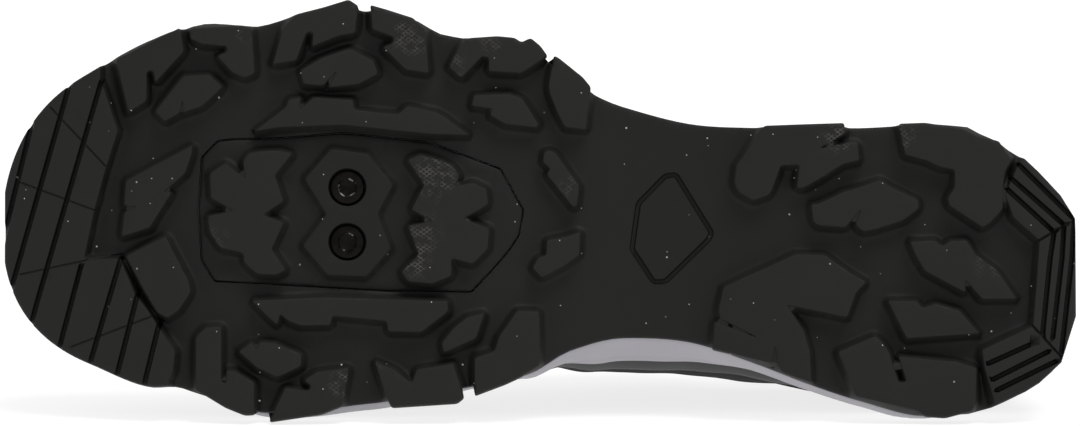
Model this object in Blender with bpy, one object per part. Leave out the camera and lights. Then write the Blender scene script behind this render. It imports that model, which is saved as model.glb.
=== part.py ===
# Left cycling shoe for off-road riding and walking, with a two-bolt cleat pocket cover.
# It is worked out standing: x runs from heel to toe, y to the lateral side, z up from the ground.
# Then it is laid on its medial side, where the sole's edge and the upper both touch the floor.
import math

import bmesh
import bpy
from mathutils import Matrix, Vector

# Driving dimensions in metres
SOLE_LENGTH = 0.276
BALL_WIDTH = 0.104
LUG_HEIGHT = 0.0045
RUBBER = 0.0032
TOE_SPRING = 0.014
ARCH_RISE = 0.004
HEEL_BEVEL = 0.0035
HEEL_LIFT = 0.018
BALL_LIFT = 0.009
TOE_BOX = 0.027
INSTEP = 0.070
HEEL_HEIGHT = 0.072
WALL = 0.0024
FEATHER_INSET = 0.0026
INSOLE = 0.0035
INSOLE_CLEARANCE = 0.0016
TONGUE = 0.0045
TONGUE_TAIL = 0.022
TONGUE_FRONT = 0.006
TONGUE_CLEARANCE = 0.0012
BOSS_HEIGHT = 0.0022
SCREW_SPACING = 0.014
SCREW_HEAD = 0.0086
SCREW_HEAD_HEIGHT = 0.0026
SCREW_RECESS_DEPTH = 0.0038
SCREW_CLEARANCE = 0.0005
SOCKET = 0.004
SOCKET_DEPTH = 0.0016
EYELET = 0.0078
EYELET_HOLE = 0.0042
EYELET_HEIGHT = 0.001
LACE = 0.003
LACE_CLEARANCE = 0.0008
GAP = 0.0003
LUG_ROOT = 0.001
PANEL_GROOVE = 0.0011
PANEL_DEPTH = 0.0010
CUT_LOW = -0.03
CUT_HIGH = 0.08

# Shares and exponents that shape the outline
TOE_ROUND = 0.17
TOE_POWER = 2.1
TOE_END = 0.9975
TREAD_PROUD = 1.07
BLOCK_PROUD = 1.004
BLOCK_REACH = 1.3
# Height of the midsole's belly, its share of the flare and its own bulge in ball widths
BELLY_HEIGHT = 0.5
BELLY_FLARE = 0.62
BELLY_BULGE = 0.004
# Numbers of steps and sides of the round shapes
TOE_STEPS = 9
RIM_STEPS = 90
INSOLE_STEPS = 32
SCREW_SIDES = 20
EYELET_SIDES = 12
HOLE_SIDES = 8
LACE_SIDES = 8


def chart(names, *rows):
    """A table with a name for each column."""
    return dict(zip(names.split(), zip(*rows)))


# Sole outline: centre and half width as shares of the ball width
OUTLINE = chart(
    "along centre half",
    (0.10, -0.084, 0.354),
    (0.14, -0.084, 0.359),
    (0.20, -0.069, 0.337),
    (0.25, -0.045, 0.317),
    (0.30, -0.020, 0.290),
    (0.36, 0.012, 0.270),
    (0.42, 0.042, 0.282),
    (0.47, 0.054, 0.334),
    (0.51, 0.067, 0.406),
    (0.56, 0.062, 0.433),
    (0.61, 0.072, 0.463),
    (0.66, 0.074, 0.485),
    (0.71, 0.064, 0.4925),
    (0.76, 0.052, 0.4825),
    (0.81, 0.064, 0.465),
    (0.86, 0.061, 0.433),
    (0.92, 0.043, 0.405),
    (0.96, 0.032, 0.408),
    (1.00, 0.036, 0.412),
)
# Slanted heel corners, as shares of the half width
HEEL_CORNERS = chart(
    "along lateral medial",
    (0.000, 0.356, 0.322),
    (0.014, 0.477, 0.610),
    (0.035, 0.653, 0.718),
    (0.048, 0.763, 0.780),
    (0.078, 0.907, 0.910),
    (0.100, 1.000, 1.000),
)
# Height of the tread base over flat ground, as shares of spring, arch rise and heel bevel
RISE = chart(
    "along toe arch heel",
    (0.00, 0.00, 0.00, 1.00),
    (0.03, 0.00, 0.00, 0.40),
    (0.06, 0.00, 0.00, 0.08),
    (0.09, 0.00, 0.00, 0.00),
    (0.24, 0.00, 0.00, 0.00),
    (0.30, 0.00, 0.35, 0.00),
    (0.36, 0.00, 0.85, 0.00),
    (0.41, 0.00, 1.00, 0.00),
    (0.47, 0.00, 0.65, 0.00),
    (0.54, 0.00, 0.18, 0.00),
    (0.60, 0.00, 0.00, 0.00),
    (0.76, 0.00, 0.00, 0.00),
    (0.82, 0.10, 0.00, 0.00),
    (0.88, 0.32, 0.00, 0.00),
    (0.94, 0.64, 0.00, 0.00),
    (1.00, 1.00, 0.00, 0.00),
)
# Thickness of the midsole, as shares of the lifts at heel and ball
LIFT = chart(
    "along heel ball",
    (0.00, 1.00, 0.00),
    (0.22, 0.97, 0.00),
    (0.35, 0.72, 0.10),
    (0.41, 0.55, 0.20),
    (0.50, 0.30, 0.50),
    (0.60, 0.10, 0.85),
    (0.70, 0.00, 1.00),
    (0.88, 0.00, 0.85),
    (1.00, 0.00, 0.75),
)
# How far the top of the midsole stands out past the sole's outline, as shares of the ball width
FLARE = chart(
    "along lateral medial",
    (0.00, -0.010, -0.012),
    (0.15, -0.008, -0.012),
    (0.22, -0.003, -0.002),
    (0.295, 0.003, 0.019),
    (0.344, 0.006, 0.040),
    (0.39, 0.007, 0.049),
    (0.437, 0.007, 0.044),
    (0.48, 0.006, 0.022),
    (0.55, 0.004, 0.011),
    (0.65, 0.004, 0.008),
    (0.80, 0.000, 0.002),
    (1.00, -0.010, -0.010),
)
# Line of the foot's middle over the sole, as a share of the ball width
SPINE = chart(
    "along middle",
    (0.00, -0.080),
    (0.20, -0.075),
    (0.40, -0.015),
    (0.66, 0.035),
    (0.90, 0.045),
)
# Upper edge and profile for each place between toe tip and heel back.
# top and half place the edge; box, instep and heel are shares of the three heights;
# bulge_up and bulge_in place the profile's control point, lateral and medial push it outward.
SECTIONS = chart(
    "along top half box instep heel bulge_up bulge_in lateral medial",
    (0.00, 0.905, 0.000, 0.95, 0.00, 0.00, 0.86, 0.00, 0.010, 0.010),
    (0.10, 0.885, 0.000, 1.02, 0.00, 0.00, 0.88, 0.00, 0.012, 0.012),
    (0.22, 0.820, 0.000, 1.16, 0.00, 0.00, 0.90, 0.00, 0.012, 0.012),
    (0.34, 0.735, 0.000, 1.02, 0.20, 0.00, 0.90, 0.02, 0.010, 0.010),
    (0.42, 0.675, 0.000, 0.52, 0.47, 0.00, 0.86, 0.06, 0.015, 0.010),
    (0.425, 0.668, 0.050, 0.50, 0.47, 0.00, 0.84, 0.06, 0.016, 0.012),
    (0.50, 0.585, 0.095, 0.20, 0.72, 0.00, 0.74, 0.10, 0.030, 0.030),
    (0.58, 0.490, 0.115, 0.00, 0.93, 0.00, 0.64, 0.16, 0.050, 0.070),
    (0.63, 0.430, 0.135, 0.00, 1.00, 0.00, 0.56, 0.20, 0.070, 0.115),
    (0.68, 0.365, 0.215, 0.00, 0.55, 0.37, 0.50, 0.24, 0.055, 0.100),
    (0.74, 0.290, 0.265, 0.00, 0.00, 0.74, 0.46, 0.28, 0.022, 0.032),
    (0.80, 0.215, 0.285, 0.00, 0.00, 0.69, 0.44, 0.30, 0.006, 0.008),
    (0.88, 0.125, 0.262, 0.00, 0.00, 0.79, 0.42, 0.30, 0.004, 0.004),
    (0.94, 0.066, 0.195, 0.00, 0.00, 0.91, 0.40, 0.30, 0.014, 0.014),
    (0.97, 0.048, 0.110, 0.00, 0.00, 0.98, 0.38, 0.30, 0.024, 0.024),
    (1.00, 0.042, 0.000, 0.00, 0.00, 1.00, 0.38, 0.30, 0.030, 0.030),
)
THROAT_START = 0.42
THROAT_TOP = 0.63
COLUMNS = (0.0, 0.03, 0.06, 0.10, 0.14, 0.18, 0.22, 0.27, 0.32, 0.37, 0.42, 0.425, 0.45, 0.48, 0.51,
           0.545, 0.58, 0.605, 0.63, 0.655, 0.68, 0.71, 0.74, 0.77, 0.80, 0.84, 0.88, 0.92, 0.95,
           0.975, 1.0)
PROFILE = (0.0, 0.10, 0.22, 0.35, 0.48, 0.61, 0.74, 0.87, 1.0)
EYELET_PLACES = (0.445, 0.486, 0.527, 0.568, 0.609)
EYELET_UP = 0.84
LACE_UP = 0.93
LACE_EDGE_SHARE = 0.15
LACE_CROWN = 0.10
LACE_END = 0.2
EYELET_TAPER = 0.94
# Tongue: places of its rows, heights at which it meets the throat, and its narrowing tail
TONGUE_PLACES = (0.44, 0.48, 0.52, 0.56, 0.60, THROAT_TOP)
TONGUE_UPS = (0.76, 0.88, 1.0)
TONGUE_CROWN = 0.10
TONGUE_TAIL_ROWS = chart(
    "along width",
    (0.45, 0.94),
    (0.82, 0.80),
    (1.00, 0.55),
)

# Lugs of the outsole: corner shares along the sole and across its half width, lateral side plus
EDGE_LUGS = {
    "lateral_1": ((0.892, 0.98), (0.832, 1.01), (0.828, 0.87), (0.855, 0.74), (0.857, 0.82),
                  (0.863, 0.82), (0.863, 0.65), (0.880, 0.62)),
    "lateral_2": ((0.822, 0.985), (0.772, 1.0), (0.765, 0.98), (0.762, 0.75), (0.772, 0.725),
                  (0.783, 0.745), (0.797, 0.82), (0.788, 0.85), (0.788, 0.88), (0.811, 0.885),
                  (0.822, 0.93)),
    "lateral_3": ((0.7455, 0.78), (0.736, 0.95), (0.723, 1.0), (0.698, 1.015), (0.675, 1.05),
                  (0.666, 1.02), (0.669, 0.88), (0.685, 0.865), (0.709, 0.82), (0.708, 0.895),
                  (0.714, 0.895), (0.7235, 0.765)),
    "lateral_4": ((0.655, 1.03), (0.640, 1.02), (0.615, 1.01), (0.604, 0.97), (0.6005, 0.745),
                  (0.622, 0.725), (0.643, 0.82), (0.634, 0.85), (0.633, 0.885), (0.653, 0.905)),
    "lateral_5": ((0.582, 0.815), (0.572, 0.94), (0.564, 1.0), (0.537, 1.02), (0.520, 1.01),
                  (0.512, 1.0), (0.500, 1.05), (0.495, 1.04), (0.514, 0.82), (0.545, 0.82),
                  (0.545, 0.90), (0.551, 0.905), (0.570, 0.765)),
    "lateral_6": ((0.4875, 1.0), (0.478, 1.04), (0.4555, 1.04), (0.457, 0.69), (0.476, 0.64),
                  (0.4825, 0.70), (0.490, 0.79), (0.492, 0.84)),
    "lateral_7": ((0.289, 1.01), (0.215, 1.03), (0.214, 0.955), (0.238, 0.826), (0.2105, 0.88),
                  (0.203, 0.875), (0.201, 0.755), (0.2165, 0.72), (0.235, 0.61), (0.253, 0.51),
                  (0.2596, 0.505), (0.257, 0.69), (0.274, 0.68), (0.282, 0.48), (0.285, 0.43),
                  (0.300, 0.37), (0.3137, 0.43), (0.3175, 0.50), (0.3155, 0.66), (0.310, 0.73),
                  (0.2988, 0.90)),
    "lateral_8": ((0.1645, 1.01), (0.140, 1.01), (0.111, 0.985), (0.103, 0.97), (0.092, 0.925),
                  (0.078, 0.908), (0.071, 0.893), (0.0665, 0.828), (0.0595, 0.764), (0.066, 0.688),
                  (0.068, 0.590), (0.0685, 0.42), (0.080, 0.326), (0.0873, 0.292), (0.0905, 0.31),
                  (0.118, 0.44), (0.120, 0.49), (0.113, 0.57), (0.113, 0.69), (0.128, 0.71),
                  (0.1395, 0.75), (0.159, 0.79)),
    "medial_1": ((0.817, -0.70), (0.808, -0.635), (0.793, -0.61), (0.793, -0.90), (0.7885, -0.90),
                 (0.7885, -0.83), (0.780, -0.82), (0.7625, -0.855), (0.7625, -1.02),
                 (0.772, -1.035), (0.790, -1.03), (0.817, -0.985)),
    "medial_2": ((0.749, -1.05), (0.734, -0.875), (0.713, -0.90), (0.709, -0.88), (0.7165, -0.845),
                 (0.705, -0.81), (0.675, -0.81), (0.681, -1.0), (0.700, -1.025)),
    "medial_3": ((0.651, -0.79), (0.6325, -0.845), (0.617, -0.93), (0.612, -0.86), (0.578, -0.855),
                 (0.572, -1.03), (0.576, -1.055), (0.6355, -1.03), (0.640, -0.985)),
    "medial_4": ((0.5585, -0.84), (0.540, -0.82), (0.536, -0.74), (0.519, -0.605),
                 (0.4985, -0.64), (0.4975, -0.90), (0.520, -0.985), (0.540, -1.02),
                 (0.5585, -1.04)),
    "medial_5": ((0.3277, -0.43), (0.2605, -0.015), (0.2335, 0.018), (0.211, -0.077),
                 (0.195, -0.13), (0.2045, -0.215), (0.213, -0.415), (0.269, -0.44),
                 (0.253, -0.61), (0.2475, -0.757), (0.2465, -0.99), (0.2725, -1.0),
                 (0.2776, -0.96), (0.280, -0.80), (0.283, -0.955), (0.338, -1.02),
                 (0.336, -0.765), (0.297, -0.783), (0.3305, -0.72), (0.3325, -0.645)),
    "medial_6": ((0.222, -0.69), (0.187, -0.505), (0.179, -0.555), (0.1745, -0.60),
                 (0.1655, -0.80), (0.1585, -0.78), (0.166, -0.615), (0.111, -0.64),
                 (0.0934, -0.685), (0.0943, -0.93), (0.098, -0.972), (0.122, -1.007),
                 (0.141, -0.995), (0.1475, -0.972), (0.206, -0.98), (0.2157, -0.795)),
}
CENTRE_LUGS = {
    "outer_1": ((0.855, 0.575), (0.829, 0.735), (0.805, 0.72), (0.792, 0.66), (0.811, 0.55),
                (0.829, 0.53), (0.8295, 0.60), (0.832, 0.53), (0.846, 0.50)),
    "outer_3": ((0.720, 0.71), (0.700, 0.76), (0.674, 0.80), (0.652, 0.745), (0.6475, 0.68),
                (0.666, 0.62), (0.694, 0.61), (0.686, 0.69), (0.6985, 0.62), (0.717, 0.64)),
    "outer_5": ((0.559, 0.675), (0.526, 0.69), (0.514, 0.67), (0.4985, 0.54), (0.5005, 0.515),
                (0.530, 0.51), (0.5445, 0.565), (0.541, 0.60), (0.561, 0.61)),
    "waist_lateral": ((0.494, 0.38), (0.4885, 0.41), (0.4825, 0.41), (0.461, 0.225),
                      (0.463, 0.075), (0.467, 0.06), (0.4915, 0.24), (0.488, 0.29),
                      (0.495, 0.31)),
    "waist_medial": ((0.460, -0.12), (0.461, -0.30), (0.474, -0.37), (0.496, -0.43),
                     (0.505, -0.36), (0.4995, -0.30), (0.492, -0.29), (0.4915, -0.19),
                     (0.472, -0.16)),
    "inner_1": ((0.777, -0.71), (0.765, -0.645), (0.7605, -0.685), (0.758, -0.64),
                (0.7435, -0.645), (0.7185, -0.715), (0.7195, -0.775), (0.741, -0.82),
                (0.760, -0.775)),
    "inner_3": ((0.589, -0.73), (0.578, -0.655), (0.565, -0.60), (0.549, -0.59), (0.557, -0.73),
                (0.587, -0.785)),
    "toe_lateral": ((0.8825, 0.21), (0.820, 0.345), (0.8205, 0.30), (0.827, 0.19), (0.847, 0.10),
                    (0.839, 0.09), (0.860, -0.085), (0.8865, -0.13), (0.884, 0.02),
                    (0.872, 0.045), (0.884, 0.06)),
    "toe_medial": ((0.8825, -0.25), (0.8455, -0.15), (0.823, -0.41), (0.8215, -0.46),
                   (0.833, -0.575), (0.8435, -0.615), (0.853, -0.575), (0.865, -0.45)),
    "heel_front": ((0.2465, 0.385), (0.240, 0.40), (0.216, 0.515), (0.206, 0.545), (0.182, 0.615),
                   (0.1706, 0.56), (0.147, 0.48), (0.146, 0.42), (0.1605, 0.335), (0.1857, 0.26),
                   (0.198, 0.235), (0.2055, 0.28), (0.200, 0.395), (0.2145, 0.25), (0.240, 0.235),
                   (0.2445, 0.26)),
    "heel_back": ((0.155, 0.19), (0.131, 0.20), (0.125, 0.16), (0.1175, 0.20), (0.102, 0.20),
                  (0.0935, 0.10), (0.074, -0.005), (0.056, -0.204), (0.088, -0.207),
                  (0.1035, -0.07), (0.1035, -0.16), (0.141, -0.01), (0.1495, 0.095)),
    "heel_middle": ((0.1755, -0.24), (0.149, -0.215), (0.143, -0.265), (0.132, -0.235),
                    (0.109, -0.285), (0.0905, -0.445), (0.158, -0.483), (0.168, -0.347)),
}
RAILS = {
    "rail_lateral": ((0.7625, 0.45), (0.733, 0.545), (0.731, 0.58), (0.7195, 0.575),
                     (0.7205, 0.515), (0.708, 0.565), (0.671, 0.54), (0.6695, 0.49),
                     (0.629, 0.485), (0.621, 0.535), (0.594, 0.55), (0.585, 0.53), (0.563, 0.44),
                     (0.600, 0.415), (0.680, 0.415), (0.740, 0.45)),
    "rail_medial": ((0.765, -0.43), (0.752, -0.50), (0.741, -0.555), (0.7385, -0.50),
                    (0.731, -0.54), (0.7195, -0.57), (0.692, -0.585), (0.690, -0.54),
                    (0.640, -0.59), (0.6385, -0.645), (0.608, -0.665), (0.583, -0.56),
                    (0.583, -0.50), (0.640, -0.475), (0.700, -0.44)),
}
# Rear edge of the toe block and front edge of the heel block, from lateral to medial side
TOE_BLOCK_EDGE = ((0.907, 0.93), (0.890, 0.53), (0.902, 0.30), (0.912, 0.05), (0.922, -0.285),
                  (0.888, -0.265), (0.874, -0.47), (0.860, -0.58), (0.852, -0.66),
                  (0.836, -0.80), (0.838, -0.92), (0.842, -0.965))
HEEL_BLOCK_EDGE = ((0.0476, 0.763), (0.0551, 0.712), (0.0663, 0.524), (0.0588, 0.363),
                   (0.0345, 0.203), (0.0373, -0.085), (0.041, -0.393), (0.0887, -0.559),
                   (0.0859, -0.692), (0.0775, -0.910))
# Cleat pocket cover: its seam, its two notched blocks and the double hexagon round the screws
COVER_SEAM = ((0.797, 0.375), (0.782, 0.400), (0.740, 0.400), (0.680, 0.380), (0.600, 0.375),
              (0.534, 0.25), (0.513, 0.0), (0.517, -0.15), (0.527, -0.24), (0.542, -0.34),
              (0.5615, -0.455), (0.640, -0.43), (0.800, -0.375), (0.812, -0.28), (0.815, 0.0),
              (0.812, 0.28))
COVER_BLOCKS = {
    "front": ((0.768, 0.335), (0.757, 0.345), (0.738, 0.33), (0.727, 0.30), (0.7435, 0.21),
              (0.735, 0.07), (0.7545, 0.015), (0.735, -0.04), (0.7465, -0.165), (0.733, -0.28),
              (0.742, -0.30), (0.760, -0.29), (0.772, -0.24), (0.773, -0.19), (0.794, -0.195),
              (0.804, -0.12), (0.806, -0.04), (0.782, 0.02), (0.803, 0.06), (0.804, 0.19),
              (0.790, 0.26), (0.771, 0.20), (0.773, 0.29)),
    "rear": ((0.6205, 0.25), (0.609, 0.285), (0.589, 0.285), (0.578, 0.26), (0.572, 0.205),
             (0.577, 0.145), (0.560, 0.17), (0.547, 0.13), (0.5455, 0.04), (0.569, -0.04),
             (0.5445, -0.10), (0.546, -0.22), (0.560, -0.30), (0.580, -0.26), (0.5795, -0.36),
             (0.5975, -0.40), (0.620, -0.39), (0.6265, -0.34), (0.610, -0.25), (0.620, -0.10),
             (0.5975, -0.055), (0.617, -0.01), (0.605, 0.13)),
}
BOSS = ((0.692, 0.30), (0.658, 0.27), (0.634, 0.115), (0.6485, -0.035), (0.636, -0.215),
        (0.659, -0.355), (0.695, -0.33), (0.718, -0.167), (0.6956, -0.025), (0.7162, 0.165))
SCREW_ALONG = 0.6765
SCREW_MIDDLE = -0.0355
# Plain panel outlined by a shallow groove in the waist
PANEL = ((0.406, 0.184), (0.381, 0.477), (0.371, 0.509), (0.338, 0.04), (0.340, -0.02),
         (0.381, -0.48), (0.392, -0.496), (0.412, -0.224))
# Finishes: colour, roughness, metallic
FINISHES = {
    "outsole_rubber": ((0.020, 0.019, 0.018), 0.62, 0.0),
    "midsole_foam": ((0.40, 0.39, 0.42), 0.60, 0.0),
    "upper_black": ((0.010, 0.010, 0.011), 0.70, 0.0),
    "lining_fabric": ((0.020, 0.020, 0.022), 0.85, 0.0),
    "lace_black": ((0.012, 0.012, 0.013), 0.80, 0.0),
    "eyelet_metal": ((0.05, 0.05, 0.055), 0.35, 1.0),
    "screw_steel": ((0.30, 0.30, 0.31), 0.30, 1.0),
}


def read(table, name, at):
    """A column's value at a place, on a smooth curve that never overshoots its rows."""
    xs = table["along"]
    ys = table[name]
    if at <= xs[0]:
        return ys[0]
    if at >= xs[-1]:
        return ys[-1]
    slopes = [(ys[i + 1] - ys[i]) / (xs[i + 1] - xs[i]) for i in range(len(xs) - 1)]
    spot = max(i for i in range(len(xs) - 1) if xs[i] <= at)

    def tangent(i):
        if i == 0 or i == len(xs) - 1:
            return slopes[0] if i == 0 else slopes[-1]
        before, after = slopes[i - 1], slopes[i]
        return 0.0 if before * after <= 0 else 2 * before * after / (before + after)

    width = xs[spot + 1] - xs[spot]
    t = (at - xs[spot]) / width
    start = (1 + 2 * t) * (1 - t) ** 2 * ys[spot] + t * (1 - t) ** 2 * width * tangent(spot)
    end = t * t * (3 - 2 * t) * ys[spot + 1] + t * t * (t - 1) * width * tangent(spot + 1)
    return start + end


def toe_round(along):
    """Share of the half width that is left where the toe rounds off."""
    inside = (along - (1 - TOE_ROUND)) / TOE_ROUND
    if inside <= 0:
        return 1.0
    return max(0.0, 1 - inside ** TOE_POWER) ** (1 / TOE_POWER)


def plan(along, across):
    """Place on the sole, from shares along it and across its half width."""
    middle = read(OUTLINE, "centre", along)
    half = read(OUTLINE, "half", along) * toe_round(along)
    return along * SOLE_LENGTH, (middle + across * half) * BALL_WIDTH


def corner(along, side):
    """Share of the half width at the slanted corners of the heel."""
    return read(HEEL_CORNERS, "lateral" if side > 0 else "medial", along)


def flare(along, side):
    """How far the midsole's top stands out past the sole's outline."""
    return read(FLARE, "lateral" if side > 0 else "medial", along) * BALL_WIDTH


def tread_base(along):
    """Height of the rubber between the lugs."""
    return (LUG_HEIGHT + TOE_SPRING * read(RISE, "toe", along) + ARCH_RISE * read(RISE, "arch", along)
            + HEEL_BEVEL * read(RISE, "heel", along))


def midsole_low(along):
    """Height of the underside of the midsole."""
    return tread_base(along) + RUBBER + GAP


def feather(along):
    """Height of the top of the midsole, where the upper starts."""
    lift = HEEL_LIFT * read(LIFT, "heel", along) + BALL_LIFT * read(LIFT, "ball", along)
    return midsole_low(along) + lift


def stations():
    """Places along the sole where its sections stand, closer at the ends."""
    heel = list(HEEL_CORNERS["along"])
    body = [0.13 + 0.03 * i for i in range(24)]
    toe_start = 1 - TOE_ROUND
    turns = [i / TOE_STEPS for i in range(1, TOE_STEPS)]
    toe = [toe_start + TOE_ROUND * math.sin(turn * math.pi / 2) for turn in turns]
    return heel + [place for place in body if place < toe_start] + toe + [TOE_END]


def new_object(name, mesh_maker):
    """An object with the mesh that a bmesh function fills."""
    shape = bmesh.new()
    mesh_maker(shape)
    bmesh.ops.recalc_face_normals(shape, faces=shape.faces)
    mesh = bpy.data.meshes.new(name)
    shape.to_mesh(mesh)
    shape.free()
    thing = bpy.data.objects.new(name, mesh)
    bpy.context.scene.collection.objects.link(thing)
    return thing


def guide(thing):
    """Marks an object that only cuts or joins."""
    thing.hide_render = True
    thing.display_type = "WIRE"
    return thing


def combine(target, tool, how):
    """Adds one exact Boolean to an object."""
    step = target.modifiers.new(tool.name, "BOOLEAN")
    step.operation = how
    step.solver = "EXACT"
    step.object = tool
    return target


def sheet(name, levels):
    """A closed sheet across the sole; each level gives a height and an edge for each place."""
    places = stations()

    def make(shape):
        rings = []
        for height, reach in levels:
            rows = []
            for along in places:
                row = []
                for side in (1, -1):
                    x, y = plan(along, side * corner(along, side) * reach(along, side)[0])
                    y += side * reach(along, side)[1]
                    row.append(shape.verts.new((x, y, height(along))))
                rows.append(row)
            rings.append(rows)
        for first, second in zip(rings, rings[1:]):
            for near, far, above, beyond in zip(first, first[1:], second, second[1:]):
                for side in (0, 1):
                    shape.faces.new((near[side], far[side], beyond[side], above[side]))
            for end in (0, -1):
                shape.faces.new((*first[end], *reversed(second[end])))
        for rows in (rings[0], rings[-1]):
            for near, far in zip(rows, rows[1:]):
                shape.faces.new((near[0], far[0], far[1], near[1]))

    return new_object(name, make)


def plain_edge(along, side):
    return 1.0, 0.0


def tread_edge(along, side):
    return TREAD_PROUD, 0.0


def block_edge(along, side):
    return BLOCK_PROUD, 0.0


def flared_edge(along, side):
    return 1.0, flare(along, side)


def belly_edge(along, side):
    return 1.0, flare(along, side) * BELLY_FLARE + BALL_WIDTH * BELLY_BULGE


def prisms(name, outlines, low=CUT_LOW, high=CUT_HIGH):
    """Upright prisms over outlines given in metres."""

    def make(shape):
        for outline in outlines:
            bottom = [shape.verts.new((x, y, low)) for x, y in outline]
            top = [shape.verts.new((x, y, high)) for x, y in outline]
            shape.faces.new(bottom)
            shape.faces.new(reversed(top))
            for i in range(len(outline)):
                j = (i + 1) % len(outline)
                shape.faces.new((bottom[i], bottom[j], top[j], top[i]))

    return guide(new_object(name, make))


def grow(outline, distance):
    """An outline moved outward by a distance, corner by corner."""
    area = sum(a[0] * b[1] - b[0] * a[1] for a, b in zip(outline, outline[1:] + outline[:1]))
    turn = 1 if area > 0 else -1
    moved = []
    for i, point in enumerate(outline):
        here = Vector(point)
        before = (here - Vector(outline[i - 1])).normalized()
        after = (Vector(outline[(i + 1) % len(outline)]) - here).normalized()
        normals = [Vector((way.y, -way.x)) * turn for way in (before, after)]
        split = (normals[0] + normals[1]).normalized()
        moved.append(tuple(here + split * distance / max(0.4, split.dot(normals[0]))))
    return moved


def outline_of(corners):
    return [plan(along, across) for along, across in corners]


def toe_block():
    """The ribbed block that wraps the toe, open to the sole's own outline in front."""
    reach = BALL_WIDTH * BLOCK_REACH
    rear = outline_of(TOE_BLOCK_EDGE)
    front = SOLE_LENGTH * BLOCK_REACH
    return [(rear[0][0], reach)] + rear + [(rear[-1][0], -reach), (front, -reach), (front, reach)]


def heel_block():
    """The ribbed block round the back of the heel."""
    reach = BALL_WIDTH * BLOCK_REACH
    edge = outline_of(HEEL_BLOCK_EDGE)
    back = SOLE_LENGTH * (1 - BLOCK_REACH)
    return [(edge[0][0], reach)] + edge + [(edge[-1][0], -reach), (back, -reach), (back, reach)]


def tread(name, outlines, height, edge=tread_edge):
    """Lugs of one height that follow the curve of the sole."""
    lugs = sheet(name, ((lambda u: tread_base(u) - height, edge),
                        (lambda u: tread_base(u) + LUG_ROOT, edge)))
    return guide(combine(lugs, prisms(name + "_outlines", outlines), "INTERSECT"))


def slab(name):
    """The rubber between tread and midsole."""
    return sheet(name, ((tread_base, plain_edge), (lambda u: tread_base(u) + RUBBER, plain_edge)))


def build_outsole():
    outsole = slab("outsole")
    seam = outline_of(COVER_SEAM)
    combine(outsole, prisms("pocket_cut", [grow(seam, GAP)]), "DIFFERENCE")
    lugs = [outline_of(shape) for group in (EDGE_LUGS, CENTRE_LUGS, RAILS) for shape in group.values()]
    combine(outsole, tread("tread_lugs", lugs, LUG_HEIGHT), "UNION")
    blocks = [toe_block(), heel_block()]
    combine(outsole, tread("tread_blocks", blocks, LUG_HEIGHT, block_edge), "UNION")
    ring = prisms("panel_ring", [outline_of(PANEL)], 0.0, tread_base(PANEL[0][0]) + PANEL_DEPTH)
    combine(ring, prisms("panel_core", [grow(outline_of(PANEL), -PANEL_GROOVE)]), "DIFFERENCE")
    return combine(outsole, ring, "DIFFERENCE")


def screw_places():
    """Centres of the two screws, lateral first."""
    x, y = plan(SCREW_ALONG, SCREW_MIDDLE)
    return (("lateral", x, y + SCREW_SPACING / 2), ("medial", x, y - SCREW_SPACING / 2))


def cylinder(name, diameter, sides, x, y, low, high):
    """An upright round or six-sided solid."""
    turns = [2 * math.pi * (i + 0.5) / sides for i in range(sides)]
    points = [(x + diameter / 2 * math.cos(turn), y + diameter / 2 * math.sin(turn)) for turn in turns]
    return prisms(name, [points], low, high)


def boss_face():
    return tread_base(SCREW_ALONG) - BOSS_HEIGHT


def build_cover():
    cover = slab("cleat_cover")
    combine(cover, prisms("cover_seam", [outline_of(COVER_SEAM)]), "INTERSECT")
    blocks = [outline_of(shape) for shape in COVER_BLOCKS.values()]
    combine(cover, tread("cover_blocks", blocks, LUG_HEIGHT), "UNION")
    combine(cover, tread("cover_boss", [outline_of(BOSS)], BOSS_HEIGHT), "UNION")
    for side, x, y in screw_places():
        recess = cylinder("recess_" + side, SCREW_HEAD + 2 * SCREW_CLEARANCE, SCREW_SIDES, x, y,
                          CUT_LOW, boss_face() + SCREW_RECESS_DEPTH)
        combine(cover, recess, "DIFFERENCE")
    return cover


def build_screws():
    seat = boss_face() + SCREW_RECESS_DEPTH - GAP
    face = seat - SCREW_HEAD_HEIGHT
    screws = []
    for side, x, y in screw_places():
        head = cylinder("cleat_screw_" + side, SCREW_HEAD, SCREW_SIDES, x, y, face, seat)
        head.hide_render = False
        head.display_type = "TEXTURED"
        socket = cylinder("socket_" + side, SOCKET / math.cos(math.pi / 6), 6, x, y, CUT_LOW,
                          face + SOCKET_DEPTH)
        screws.append(combine(head, socket, "DIFFERENCE"))
    return screws


def build_midsole():
    return sheet("midsole", (
        (midsole_low, plain_edge),
        (lambda u: midsole_low(u) * (1 - BELLY_HEIGHT) + feather(u) * BELLY_HEIGHT, belly_edge),
        (feather, flared_edge)))


def rim_path(side):
    """The edge of the midsole's top from toe tip to heel back, as points with lengths."""
    turns = [math.sin(math.pi / 2 * i / RIM_STEPS) for i in range(RIM_STEPS + 1)]
    places = [TOE_END - TOE_ROUND * (1 - turn) for turn in reversed(turns)]
    start = TOE_END - TOE_ROUND
    places += [start * (1 - i / (2 * RIM_STEPS)) for i in range(1, 2 * RIM_STEPS + 1)]
    points = [Vector(plan(TOE_END, 0.0))]
    for along in places:
        x, y = plan(along, side * corner(along, side))
        points.append(Vector((x, y + side * flare(along, side))))
    points.append(Vector(plan(0.0, 0.5 * (corner(0.0, 1) - corner(0.0, -1)))))
    lengths = [0.0]
    for near, far in zip(points, points[1:]):
        lengths.append(lengths[-1] + (far - near).length)
    return points, lengths


RIMS = {side: rim_path(side) for side in (1, -1)}


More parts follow.
